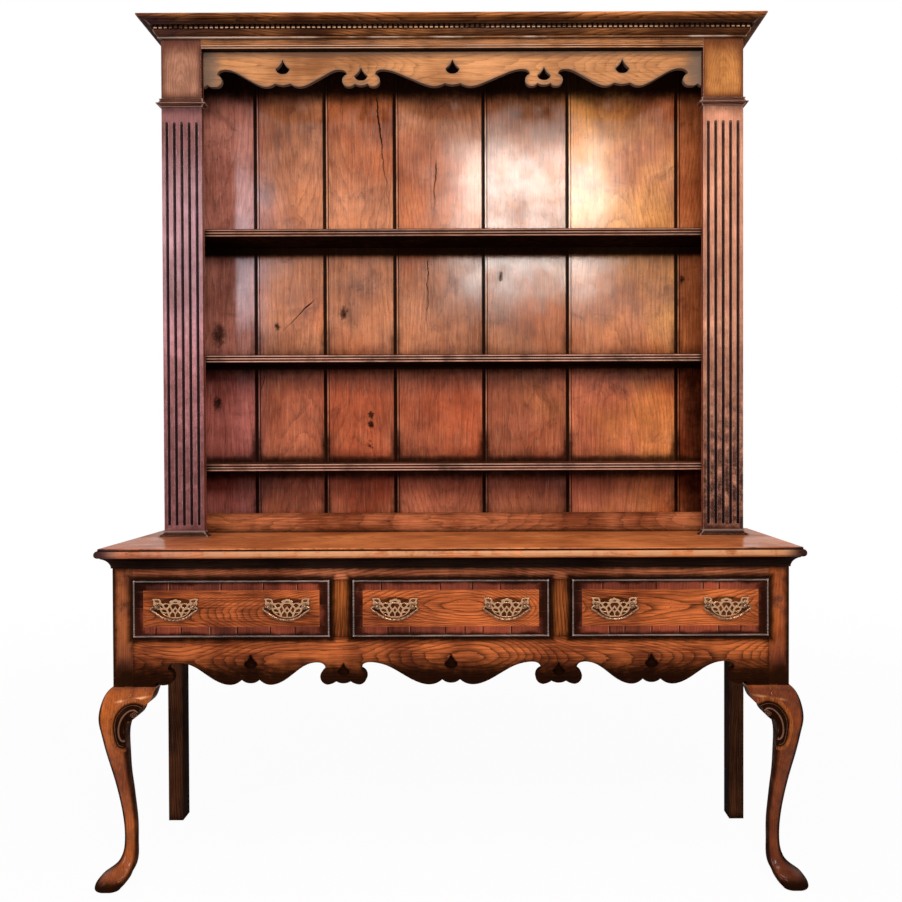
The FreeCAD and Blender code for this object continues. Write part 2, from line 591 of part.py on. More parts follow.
# Cornice: bead, ovolo, plain band for the dentils, deep cove and fascia, mitred round three sides
z = CORNICE_Z
band_z0, band_z1 = DENTIL_Z0, DENTIL_Z0 + DENTIL_H
soffit = DENTIL_FACE + DENTIL_OUT + 3.0
nose = CORNICE_TOP - 3.0
quirk = CORNICE_OUT - 12.0
cornice = [[(0, z), (5, z)], [(5, z), (7.7, z + 2.7), (5, z + 5.4)],
           [(5, z + 5.4), (13, z + 10), (DENTIL_FACE, band_z0)],
           [(DENTIL_FACE, band_z0), (DENTIL_FACE, band_z1)],
           [(DENTIL_FACE, band_z1), (soffit, band_z1)],
           [(soffit, band_z1), (soffit + 5, band_z1 + 6), (quirk, band_z1 + 8)],
           [(quirk, band_z1 + 8), (quirk + 1.5, band_z1 + 8)],
           [(quirk + 1.5, band_z1 + 8), (CORNICE_OUT - 3, band_z1 + 11), (CORNICE_OUT, nose)],
           [(CORNICE_OUT, nose), (CORNICE_OUT, CORNICE_TOP)],
           [(CORNICE_OUT, CORNICE_TOP), (0, CORNICE_TOP)], [(0, CORNICE_TOP), (0, z)]]
rack_plan = [(-RACK_HALF, BACK), (-RACK_HALF, PILASTER_Y), (RACK_HALF, PILASTER_Y), (RACK_HALF, BACK)]
save("cornice", *moulding(cornice, rack_plan))


# Dentil strips planted on the band of the cornice
def dentils(length):
    """Comb outline in plan: a thin strip with evenly spaced square teeth."""
    count = int(length / DENTIL_PITCH)
    gap = DENTIL_PITCH * 0.42
    first = (length - count * DENTIL_PITCH + gap) / 2
    points = [(0, 0), (0, 1)]
    for n in range(count):
        a = first + n * DENTIL_PITCH
        b = a + DENTIL_PITCH - gap
        points += [(a, 1), (a, DENTIL_OUT), (b, DENTIL_OUT), (b, 1)]
    points += [(length, 1), (length, 0)]
    return points


front_y = PILASTER_Y - DENTIL_FACE
strip_x = RACK_HALF + DENTIL_FACE
front_strip = polygon(dentils(2 * strip_x), lambda p: Vector(p[0] - strip_x, front_y - p[1], band_z0))
end_strip = polygon(dentils(BACK - front_y), lambda p: Vector(-strip_x - p[1], front_y + p[0], band_z0))
strips = [face.extrude(Vector(0, 0, DENTIL_H)) for face in (front_strip, end_strip)]
save("dentil_strip", *strips, flip(strips[1]))

# Back boards: upright planks with a bead along each joint
edges = [-RACK_IN] + list(BOARD_JOINTS) + [RACK_IN]
planks = []
for n in range(len(edges) - 1):
    x0, x1 = edges[n], edges[n + 1]
    plank = soften(box(x0, x1, board_y, BACK, TOP_Z, RACK_TOP), 1.5,
                   lambda m, d: abs(d.z) > 0.9 and abs(m.y - board_y) < 0.01)
    if n > 0:
        plank = plank.cut(box(x0 + 9, x0 + 11, board_y, board_y + 2.5, TOP_Z, RACK_TOP))
    planks.append(plank)
save("back_boards", *planks)
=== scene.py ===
import bmesh
import bpy
import math
from mathutils import Matrix, Vector, bvhtree, kdtree


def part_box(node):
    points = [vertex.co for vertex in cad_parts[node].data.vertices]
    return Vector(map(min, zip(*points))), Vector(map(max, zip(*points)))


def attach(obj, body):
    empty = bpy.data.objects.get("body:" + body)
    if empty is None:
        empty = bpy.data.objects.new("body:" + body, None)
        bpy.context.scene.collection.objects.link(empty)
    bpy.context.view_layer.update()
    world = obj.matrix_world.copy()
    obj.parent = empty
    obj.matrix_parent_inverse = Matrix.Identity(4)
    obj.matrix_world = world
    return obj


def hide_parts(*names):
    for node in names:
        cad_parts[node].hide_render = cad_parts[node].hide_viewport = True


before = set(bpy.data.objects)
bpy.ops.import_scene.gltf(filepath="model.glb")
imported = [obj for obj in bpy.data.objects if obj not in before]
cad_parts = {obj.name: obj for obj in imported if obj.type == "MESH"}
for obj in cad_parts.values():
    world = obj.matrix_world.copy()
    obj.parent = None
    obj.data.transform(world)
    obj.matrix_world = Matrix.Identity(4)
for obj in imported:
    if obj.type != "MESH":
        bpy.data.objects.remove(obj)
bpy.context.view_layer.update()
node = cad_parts


# Legs: two cabriole front legs sawn from the solid with their square posts, and two plain square rear
# legs. Oak, stained and waxed for many years: dirt lies black on worn arrises, and every corner is
# painted black with dirt and shade.
class Sum:
    """One output of a material's nodes. Arithmetic on it adds Math nodes to the same material."""

    def __init__(self, tree, socket=None):
        self.tree = tree
        self.socket = socket

    def node(self, kind, settings=None, inputs=None, out=0):
        """Adds a node of that type: its settings first, then the values or links of its sockets."""
        made = self.tree.nodes.new(kind)
        for key, value in (settings or {}).items():
            setattr(made, key, value)
        for key, value in (inputs or {}).items():
            if isinstance(value, Sum):
                self.tree.links.new(value.socket, made.inputs[key])
            else:
                made.inputs[key].default_value = value
        return Sum(self.tree, made.outputs[out])

    def math(self, operation, *others):
        """A Math node with this value first."""
        return self.node("ShaderNodeMath", {"operation": operation}, dict(enumerate((self,) + others)))

    def most(self, other):
        """The greater of two values."""
        return self.math("MAXIMUM", other)

    def __add__(self, other):
        return self.math("ADD", other)

    def __sub__(self, other):
        return self.math("SUBTRACT", other)

    def __rsub__(self, other):
        return self * -1.0 + other

    def __mul__(self, other):
        return self.math("MULTIPLY", other)

    __radd__ = __add__
    __rmul__ = __mul__

    def rise(self, low, high):
        """Smooth step from 0 at low to 1 at high."""
        return self.node("ShaderNodeMapRange", {"interpolation_type": "SMOOTHSTEP"},
                         {"Value": self, "From Min": low, "From Max": high})

    def scaled(self, *factors):
        """A vector multiplied axis by axis."""
        return self.node("ShaderNodeVectorMath", {"operation": "MULTIPLY"}, {0: self, 1: factors})

    def axis(self, name):
        """The X, Y or Z part of a vector."""
        return self.node("ShaderNodeSeparateXYZ", None, {0: self}, name)

    def facing(self, name):
        """How far the surface turns towards the positive end of an axis, from -1 to 1."""
        return self.node("ShaderNodeNewGeometry", out="Normal").axis(name)

    def stored(self, name):
        """The value that a mesh keeps under a name."""
        return self.node("ShaderNodeAttribute", {"attribute_name": name}, out="Fac")

    def noise(self, scale=1.0, detail=2.0, rough=0.5, warp=0.0):
        """Cloudy noise over these coordinates, about 0.5."""
        return self.node("ShaderNodeTexNoise", None, {"Vector": self, "Scale": scale, "Detail": detail,
                                                      "Roughness": rough, "Distortion": warp})

    def mix(self, a, b, kind="MIX"):
        """Colour a where this is 0 and b where it is 1."""
        return self.node("ShaderNodeMix", {"data_type": "RGBA", "blend_type": kind},
                         {0: self, 6: a, 7: b}, 2)

    def tint(self, colour, by):
        """A colour multiplied by another, as far as the square of this value."""
        return self.mix(colour, self.mix(colour, by + (1,), "MULTIPLY"))

    def times(self, colour):
        """A colour multiplied by this one."""
        return self.node("ShaderNodeMix", {"data_type": "RGBA", "blend_type": "MULTIPLY"},
                         {0: 1.0, 6: colour, 7: self}, 2)


PORE_BLACK = (0.016, 0.005, 0.0025, 1)
SPECK_BLACK = (0.012, 0.004, 0.002, 1)
LATE_WOOD = 0.24
RUB_GLINT_REACH = 0.003
BUMP_DEPTH = 0.0012


def oak(name, along, dark, light, pith=(0.0, 0.0, 0.0), spacing=0.0065, edge=0.6, corner=0.97, wear_and_glint=0.3,
        gloss=0.4, coat=0.25, reach=0.03, paint=None, soil_and_shade=None, figured=1.0, wax=0.22, wavy=0.5,
        shine=1.33, grain=1.0, turned_shade=0.0, grime_and_shade=(0.006, 0.0022, 0.0011), rub_and_glint=None, verge=0.018,
        own=None, sheen=None, cloud=1.9):
    """Waxed old oak: growth rings of a wandering log, open pores, corners black with soiling and painted
    shade, and arrises scuffed pale and painted as lit.

    pith is a point on the middle of the log, or a function that gives it, and spacing the width of one
    ring. edge, corner and wear are how strongly arrises darken, corners take soiling and painted shade,
    and arrises are painted pale, scuffed and lit; reach is how far the corner darkening spreads, grime
    its colour, rub the colour of a pale arris and figured how plainly the rings show. coat, wax and shine
    are the weight, dullness and refraction of the polish and wavy how uneven the surface is. grain is how
    plainly the fibres show, sawn how dark the faces turned away from the front are painted as shade,
    verge how far an arris darkens and cloud how cloudy the wood is. paint(at, colour) may change the bare
    wood's colour, soil(at) adds soiling and painted shade, own(at) gives each plank its own surface and
    sheen(at) says where the polish lasts.
    """
    made = bpy.data.materials.new(name)
    made.use_nodes = True
    tree = made.node_tree
    at = Sum(tree).node("ShaderNodeTexCoord", out="Object")
    skin = own(at) if own else at

    def drawn(run, across):
        """Coordinates drawn out along the grain."""
        return at.scaled(*[run if axis == along else across for axis in "XYZ"])

    fibre = drawn(6.0, 170.0).noise(1.0, 3.0, 0.6)
    bend = drawn(1.3, 1.6).noise(1.0, 1.0, 0.4)
    wave = drawn(5.0, 26.0).noise(1.0, 2.0, 0.5)
    flat = [0.0 if axis == along else 1.0 for axis in "XYZ"]
    middle = pith(at) if callable(pith) else pith
    off = at.node("ShaderNodeVectorMath", {"operation": "SUBTRACT"}, {0: at, 1: middle}).scaled(*flat)
    drift = (bend - 0.5) * 0.2
    radius = off.node("ShaderNodeVectorMath", {"operation": "LENGTH"}, {0: off}, "Value") + drift
    turn = radius * (1.0 / spacing) + wave * 2.2 + fibre * 0.35
    ring = (1.0 - turn.math("FRACT")).math("POWER", 3.5)
    pore = drawn(30.0, 700.0).noise(1.0, 1.0, 0.5).rise(0.52, 0.66) * (0.3 + ring * 0.7)
    patch = skin.noise(5.0, 3.0, 0.6)
    streak = drawn(9.0, 330.0).noise(1.0, 3.0, 0.7)
    body = (patch - 0.5) * cloud + (streak - 0.5) * 1.5 * grain + (fibre - 0.5) * 0.6 * (0.3 + 0.7 * grain)
    body = body + wave * 0.4 + 0.25
    colour = body.rise(0.0, 1.0).mix(dark + (1,), light + (1,))
    colour = (ring * (0.35 + fibre * 0.9) * figured).mix(colour, tuple(c * LATE_WOOD for c in dark) + (1,))
    colour = (pore * 0.75 * grain).mix(colour, PORE_BLACK)
    speck = at.noise(210.0, 2.0, 0.6).rise(0.66, 0.76)
    colour = (speck * 0.75).mix(colour, SPECK_BLACK)
    if paint:
        colour = paint(at, colour)

    def hidden(distance, inside=False):
        """1 where the surface is shut in within that distance, 0 where it is open."""
        settings = {"samples": 4, "inside": inside, "only_local": inside}
        return 1.0 - at.node("ShaderNodeAmbientOcclusion", settings, {"Distance": distance}, "AO")

    breakup = at.noise(38.0, 3.0, 0.65)
    # Corners found shut in are painted dark: shade, standing also for the dirt that gathers there.
    shut = (hidden(reach) * 2.1 + (breakup - 0.5) * 0.5).rise(0.2, 1.0)
    arris = (hidden(verge, True) * 2.2 + (breakup - 0.5) * 0.5).rise(0.4, 1.15)
    dirt_and_shade = (shut * corner).most(arris * edge)
    if soil_and_shade:
        dirt_and_shade = dirt_and_shade.most((soil_and_shade(at) + (breakup - 0.5) * 0.5).rise(0.1, 1.0) * corner)
    # Faces turned away from the front are painted dark as shade.
    if turned_shade:
        front = at.facing("Y") * -1.0
        dirt_and_shade = dirt_and_shade.most((1.0 - front.rise(0.15, 0.7)) * turned_shade)
    colour = dirt_and_shade.mix(colour, grime_and_shade + (1,))
    # Arrises are painted pale: scuffed wood, and painted highlights where they catch the light.
    rubbed_and_lit = (hidden(RUB_GLINT_REACH, True) * 2.2 + (breakup - 0.5) * 0.9).rise(0.6, 1.0)
    pale = rub_and_glint or tuple(min(1.0, c * 1.35 + 0.02) for c in light)
    colour = (rubbed_and_lit * wear_and_glint).mix(colour, pale + (1,))
    surface = tree.nodes["Principled BSDF"]
    tree.links.new(colour.socket, surface.inputs["Base Color"])
    rough = gloss + patch * 0.14 + ring * 0.06 + dirt_and_shade * 0.45
    tree.links.new(rough.socket, surface.inputs["Roughness"])
    polish = (1.0 - dirt_and_shade) * (0.4 + skin.noise(9.0, 4.0, 0.65).rise(0.2, 0.8) * 1.1) * coat
    if sheen:
        polish = polish * sheen(at)
    tree.links.new(polish.socket, surface.inputs["Coat Weight"])
    surface.inputs["Coat Roughness"].default_value = wax
    surface.inputs["Coat IOR"].default_value = shine
    surface.inputs["Specular IOR Level"].default_value = 0.0
    height = skin.noise(16.0, 2.0, 0.5) * 1.6 + skin.noise(5.0, 1.0) * 2.5 + fibre * 0.15
    bump = at.node("ShaderNodeBump", None,
                   {"Height": height, "Strength": 1.0, "Distance": BUMP_DEPTH * wavy})
    tree.links.new(bump.socket, surface.inputs["Normal"])
    return made


def dress(material, *names):
    """Gives CAD nodes their material."""
    for name in names:
        node[name].data.materials.clear()
        node[name].data.materials.append(material)


OPENING_HALF_PITCH = 0.273
OPENING_HALF_WIDTH = 0.2455
OPENING_HALF_HEIGHT = 0.072
OPENING_Z = 0.6933
POST_FOOT_Z = 0.4995


def front_darkening(at):
    """Carcass front: painted shade round the drawer openings and under the top, darker along the lower edge.
    """
    x, z = at.axis("X"), at.axis("Z")
    beside = x.math("PINGPONG", OPENING_HALF_PITCH) - OPENING_HALF_WIDTH
    outside = beside.most((z - OPENING_Z).math("ABSOLUTE") - OPENING_HALF_HEIGHT)
    frame_shade = 1.0 - outside.rise(0.0, 0.026)
    low = (1.0 - z.rise(0.515, 0.61)) * z.math("GREATER_THAN", POST_FOOT_Z)
    return frame_shade.most(z.rise(0.770, 0.80) * 0.9).most(low)


LEG_DARK = (0.11, 0.021, 0.005)
LEG_LIGHT = (0.46, 0.122, 0.022)
# Painted light: the left leg lighter and the right darker, the left post cooler and the right warmer.
LEG_LIT_AND_SHADED = ((1.26, 1.14, 0.9, 1), (0.68, 0.52, 0.36, 1))
POST_COOL_AND_WARM_LIGHT = ((0.86, 0.88, 1.15, 1), (1.3, 1.12, 1.0, 1))
POST_OUTSIDE_X = 0.8415
CREST_X = 0.826
CREST_Z = 0.4673
CREST_SLOPE = 0.145


def leg_darkening(at):
    """As the carcass front, plus painted shade down the sides, black painted shade under the foot and dark
    post edges.
    """
    x, z = at.axis("X"), at.axis("Z")
    turned = at.facing("X")
    outward = turned * x.math("SIGN")
    sides = (outward.rise(0.0, 0.72) * 0.95).most(turned.math("ABSOLUTE").rise(0.25, 0.95) * 0.85)
    post_edge = (1.0 - (POST_OUTSIDE_X - x.math("ABSOLUTE")).rise(0.002, 0.022)) * z.rise(0.499, 0.52)
    dirt_and_shade = front_darkening(at).most(1.0 - z.rise(0.014, 0.042)).most(post_edge * 0.9)
    return dirt_and_shade.most(sides * (1.0 - z.rise(0.495, 0.5)))


def leg_tones(at, colour):
    """Mottled wood, a dark foot, a painted highlight over the knee, and painted light that differs left and
    right.
    """
    x, z = at.axis("X"), at.axis("Z")
    across = x.math("ABSOLUTE")
    # A painted highlight along the arris over the knee.
    off = z - CREST_Z - (CREST_X - across) * CREST_SLOPE
    along = across.rise(0.738, 0.765) * (1.0 - across.rise(0.806, 0.836))
    crest_highlight = (1.0 - off.math("ABSOLUTE").rise(0.0006, 0.0042)) * along
    colour = (crest_highlight * 0.7).mix(colour, (0.74, 0.45, 0.27, 1))
    foot = 1.0 - z.rise(0.05, 0.15)
    colour = foot.tint(colour, (0.7, 0.66, 0.66))
    mottle = at.noise(24.0, 4.0, 0.7).rise(0.45, 0.72) * (0.42 + z.rise(0.49, 0.51) * 0.38)
    colour = mottle.mix(colour, (0.035, 0.009, 0.003, 1))
    right, leg = x.math("GREATER_THAN", 0.0), 1.0 - z.rise(0.49, 0.5)
    return leg.mix(right.mix(*POST_COOL_AND_WARM_LIGHT), right.mix(*LEG_LIT_AND_SHADED)).times(colour)


leg_oak = oak("oak_legs", "Z", LEG_DARK, LEG_LIGHT, edge=0.5, wear_and_glint=0.1, gloss=0.34, coat=0.7, wax=0.14,
              paint=leg_tones, soil_and_shade=leg_darkening, figured=0.35, grain=0.45, grime_and_shade=(0.012, 0.0038, 0.0013))
dress(leg_oak, "front_leg_left", "front_leg_right", "knee_ears")
# The rear legs' faces turned away from the front are painted dark as shade.
rear_oak = oak("oak_rear_legs", "Z", (0.028, 0.009, 0.004), (0.14, 0.045, 0.015), edge=0.6, gloss=0.5,
               coat=0.1, turned_shade=0.8)
dress(rear_oak, "rear_leg_left", "rear_leg_right")

# Knee carving: a C-scroll worked on the front of each knee, a thin rolled edge outside a broad one that
# curls into a volute at the ear and a small one below. The hollows are painted black as shade, with old wax.
OUTER_ROLL = ((763, 453), (773.5, 459), (786, 460), (802, 455), (815, 442), (823, 428), (826.5, 411.5),
              (826.5, 394), (824.5, 376), (820, 361.5), (811, 355))
BROAD_ROLL = ((773, 443), (779.5, 448.5), (790, 447.5), (800.5, 440), (809.5, 428), (815, 413.5),
              (818, 397), (817.5, 383), (813.5, 372), (806.5, 367))
VOLUTES = ((780.5, 437.5, 6.2), (804.5, 371.5, 4.2))
CARVE_STEP = 0.9
CARVE_X = (757, 848)
CARVE_Z = (336, 480)
KNEE_BACK_Y = -0.205
OUTER_RISE, OUTER_SPREAD = 2.6, 1.7
BROAD_RISE, BROAD_SPREAD = 3.4, 3.4
CARVING_THICKNESS = 0.004


def smooth_run(points, steps=12):
    """Points along a smooth curve through the given ones."""
    ends = [points[0]] + list(points) + [points[-1]]
    run = []
    for p0, p1, p2, p3 in zip(ends, ends[1:], ends[2:], ends[3:]):
        for n in range(steps):
            t = n / steps
            run.append([0.5 * (2 * b + (c - a) * t + (2 * a - 5 * b + 4 * c - d) * t ** 2
                               + (3 * b - a - 3 * c + d) * t ** 3) for a, b, c, d in zip(p0, p1, p2, p3)])
    return run


def nearest(run):
    """Function that gives the distance in millimetres from a point to a run of points."""
    tree = kdtree.KDTree(len(run))
    for n, (x, z) in enumerate(run):
        tree.insert((x, z, 0.0), n)
    tree.balance()
    return lambda x, z: tree.find((x, z, 0.0))[2]


def step(value, low, high):
    """Smooth step from 0 at low to 1 at high."""
    t = min(1.0, max(0.0, (value - low) / (high - low)))
    return t * t * (3 - 2 * t)


def carved_knee(name, side, leg):
    """Relief laid on the knee: heights in millimetres over the surface that shows from the front."""
    to_outer, to_broad = nearest(smooth_run(OUTER_ROLL)), nearest(smooth_run(BROAD_ROLL))
    places, faces = [], []
    for source in (node[leg], node["knee_ears"]):
        first = len(places)
        places += [v.co.copy() for v in source.data.vertices]
        faces += [[first + i for i in p.vertices] for p in source.data.polygons]
    surface = bvhtree.BVHTree.FromPolygons(places, faces)
    relief = bmesh.new()
    hollow = relief.verts.layers.float.new("hollow")
    crown = relief.verts.layers.float.new("crown")
    grid = {}
    columns, rows = [int((high - low) / CARVE_STEP) for low, high in (CARVE_X, CARVE_Z)]
    for i in range(columns):
        for j in range(rows):
            x, z = CARVE_X[0] + i * CARVE_STEP, CARVE_Z[0] + j * CARVE_STEP
            hit = surface.ray_cast((side * x / 1000, -0.4, z / 1000), (0, 1, 0))[0]
            if hit is None or hit.y > KNEE_BACK_Y:
                continue
            outer, broad = to_outer(x, z), to_broad(x, z)
            rise = max(OUTER_RISE * math.exp(-(outer / OUTER_SPREAD) ** 2),
                       BROAD_RISE * math.exp(-(broad / BROAD_SPREAD) ** 2))
            around = min(outer, broad)
            for cx, cz, radius in VOLUTES:
                r = math.hypot(x - cx, z - cz)
                turn = math.atan2(z - cz, x - cx) / (2 * math.pi)
                coil = abs((r / radius * 1.6 - turn) % 1.0 - 0.5) * 2
                within = 1 - step(r, radius * 1.1, radius * 1.5)
                rise = rise * (1 - within) + within * (1.0 + 3.0 * coil)
                around = min(around, max(0.0, r - radius))
            lift = 0.25 + rise * (1 - step(around, 8.0, 11.0)) - 1.2 * step(around, 14.5, 17.5)
            vert = relief.verts.new((hit.x, hit.y - lift / 1000, hit.z))
            within = (1 - step(x, 806.0, 814.0)) * step(z, 340.0, 352.0) * (1 - step(z, 436.0, 446.0))
            # hollow: painted shade, with old wax, in and round the scroll; crown: a painted highlight on the
            # rolls.
            dark = max(1 - step(outer, 1.5, 12.0), 1 - step(broad, 7.0, 12.0), within)
            lit = step(rise, 2.0, 3.0 if broad < outer else 2.5)
            vert[hollow] = dark * (1 - 0.75 * lit)
            vert[crown] = lit
            grid[i, j] = vert
    for (i, j), vert in grid.items():
        corners = [grid.get(key) for key in ((i, j), (i + 1, j), (i + 1, j + 1), (i, j + 1))]
        if all(corners):
            relief.faces.new(corners)
    loose = [v for v in relief.verts if not v.link_faces]
    bmesh.ops.delete(relief, geom=loose, context="VERTS")
    shell = bmesh.ops.extrude_face_region(relief, geom=list(relief.faces))
    for vert in [g for g in shell["geom"] if isinstance(g, bmesh.types.BMVert)]:
        vert.co.y += CARVING_THICKNESS
    bmesh.ops.recalc_face_normals(relief, faces=relief.faces)
    mesh = bpy.data.meshes.new(name)
    relief.to_mesh(mesh)
    relief.free()
    mesh.shade_smooth()
    return mesh


def carved_hollow_shade(at):
    """Painted shade, with old wax, in the hollows between the rolls and round the scroll."""
    return at.stored("hollow")


def carved_crowns(at, colour):
    """Painted highlights, grey-brown, on the crowns of the rolls."""
    return (at.stored("crown") * 0.8).mix(colour, (0.17, 0.095, 0.064, 1))


carving_oak = oak("oak_knee_carving", "Z", LEG_DARK, LEG_LIGHT, edge=0.0, wear_and_glint=0.0, gloss=0.34, coat=0.4,
                  reach=0.012, paint=carved_crowns, soil_and_shade=carved_hollow_shade, figured=0.35)
for side, hand in ((-1, "left"), (1, "right")):
    name = "knee_carving_" + hand
    carving = bpy.data.objects.new(name, carved_knee(name, side, "front_leg_" + hand))
    bpy.context.scene.collection.objects.link(carving)
    carving.data.materials.append(carving_oak)
    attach(carving, "carcass")

# Carcass: front rail, muntins and the shaped apron tenoned between the posts, boarded ends and back.
# Flat-sawn oak, richer and redder on the front; the shaped edge of the apron is nearly black, dark with
# handling at its arrises and painted dark as shade where it turns away from the front.
front_oak = oak("oak_apron", "X", (0.135, 0.026, 0.007), (0.66, 0.165, 0.042), (0.0, -0.13, 0.57),
                0.003, edge=0.97, wear_and_glint=0.0, soil_and_shade=front_darkening, turned_shade=0.95, verge=0.021)
dress(front_oak, "apron")
rail_front_oak = oak("oak_front_rail", "X", (0.20, 0.05, 0.018), (0.62, 0.19, 0.08), edge=0.3, wear_and_glint=0.1,
                     reach=0.012, soil_and_shade=front_darkening, turned_shade=0.9)
dress(rail_front_oak, "front_top_rail")
muntin_oak = oak("oak_muntins", "Z", (0.08, 0.017, 0.004), (0.38, 0.1, 0.02), edge=0.95, wear_and_glint=0.05,
                 soil_and_shade=front_darkening, turned_shade=0.9)
dress(muntin_oak, "muntins")
end_oak = oak("oak_ends", "Z", (0.10, 0.026, 0.008), (0.36, 0.10, 0.028), edge=0.4, figured=0.6)
dress(end_oak, "base_side_left", "base_side_right")
plain_oak = oak("oak_backs", "X", (0.05, 0.022, 0.011), (0.14, 0.062, 0.028), wear_and_glint=0.1, gloss=0.62,
                coat=0.0)
dress(plain_oak, "base_back")

# Runners, guides and stops: plain strips of oak nailed inside the carcass, where the drawers slide on
# them. They never had a finish and are dry and grey-brown with dust.
dry_oak = oak("oak_inside", "Y", (0.11, 0.065, 0.034), (0.24, 0.15, 0.083), edge=0.2, corner=0.6,
              wear_and_glint=0.1, gloss=0.7, coat=0.0)
dress(dry_oak, "drawer_runners", "drawer_stops")

# Top of the base: boards with a stepped and rounded edge, and a cove moulding mitred under it.
# The top is the most polished surface; the cove beneath it is painted black as the shade under the top.
def top_edge(at, colour):
    """The bull-nosed edge is scuffed pale, with a black line of painted shade in the step above it."""
    y, z = at.axis("Y"), at.axis("Z")
    nose = (1.0 - y.rise(-0.246, -0.243)) * z.rise(0.824, 0.829)
    colour = (nose * at.noise(26.0, 3.0, 0.7).rise(0.3, 0.62)).mix(colour, (0.58, 0.27, 0.125, 1))
    step_shade = (1.0 - y.rise(-0.2395, -0.2385)) * z.rise(0.8385, 0.840) * (1.0 - z.rise(0.8425, 0.844))
    colour = step_shade.mix(colour, (0.02, 0.006, 0.003, 1))
    across = at.axis("X").math("ABSOLUTE")
    corner = across.rise(0.80, 0.875) * (1.0 - y.rise(-0.243, -0.236)) * 0.85
    colour = corner.mix(colour, (0.05, 0.02, 0.024, 1))
    # Painted cool light over the left of the top.
    left = 1.0 - at.axis("X").rise(-0.85, -0.2)
    return left.tint(colour, (0.74, 0.72, 0.95))


def nose_end_darkening(at):
    """The ends of the nose are darker and duller."""
    ends = at.axis("X").math("ABSOLUTE").rise(0.79, 0.875)
    return ends * (1.0 - at.axis("Y").rise(-0.243, -0.236)) * 0.75


top_oak = oak("oak_top", "X", (0.40, 0.10, 0.027), (0.88, 0.28, 0.088), (0.0, 0.02, 0.74), edge=0.1,
              wear_and_glint=0.3, gloss=0.3, coat=0.5, figured=0.6, paint=top_edge, soil_and_shade=nose_end_darkening,
              rub_and_glint=(0.8, 0.42, 0.24))
dress(top_oak, "top_boards")
# Near-black colours: the cove is painted as in the shade under the top.
cove_shade_oak = oak("oak_cove_shaded", "X", (0.004, 0.0018, 0.0011), (0.024, 0.010, 0.006), edge=0.2, wear_and_glint=0.3,
               gloss=0.5, coat=0.08)
dress(cove_shade_oak, "top_cove")

# Drawer boxes: fronts of flat-sawn oak, the brightest and reddest wood of the piece, with a cock bead let
# in round the edge and dry pale linings dovetailed to them.
DRAWERS = ("drawer_left", "drawer_middle", "drawer_right")
# The cock beads' pale arrises are scuffed wood and a painted highlight along their rounds.
bead_oak = oak("oak_cockbeads", "X", (0.05, 0.032, 0.027), (0.30, 0.21, 0.18), edge=0.0, corner=0.9,
               reach=0.005, wear_and_glint=0.6, gloss=0.3, rub_and_glint=(0.55, 0.45, 0.40))


def plate_shade_and_wax(at):
    """Painted shade, with old wax that no cloth reaches, on the wood behind the pierced plates."""
    x, z = at.axis("X"), at.axis("Z")
    dirt_and_shade = x * 0.0
    for drawer in DRAWERS:
        for hand in ("left", "right"):
            low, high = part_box(drawer + "_bail_" + hand)
            across = (x - (low[0] + high[0]) / 2) * (2.1 / (high[0] - low[0]))
            up = (z - (high[2] - 0.006)) * 38.0
            dirt_and_shade = dirt_and_shade.most(1.0 - (across * across + up * up).rise(0.75, 1.15))
    return dirt_and_shade * 0.9


field_oak = oak("oak_drawer_fields", "X", (0.125, 0.023, 0.006), (0.69, 0.168, 0.043),
                (0.0, -0.15, 0.69), 0.0027, edge=0.2, corner=0.8, reach=0.012, wax=0.18, soil_and_shade=plate_shade_and_wax)
lining_oak = oak("oak_linings", "Y", (0.16, 0.09, 0.045), (0.36, 0.23, 0.12), edge=0.15, corner=0.6,
                 wear_and_glint=0.1, gloss=0.65, coat=0.0)
for drawer in DRAWERS:
    dress(field_oak, drawer + "_front")
    dress(bead_oak, drawer + "_cockbead")
    dress(lining_oak, drawer + "_sides", drawer + "_back", drawer + "_bottom")

# Borders of the drawer fronts: cross-cut oak laid in short lengths of uneven size round each field, no two
# of one tone, with a dark line of glue and wax at every joint.
DRAWER_FACE_Y = -0.2155
BORDER_T = 0.0015
BORDER_W = 0.021
BORDER_Y = DRAWER_FACE_Y + BORDER_T / 2
BORDER_JOINT = 0.0006


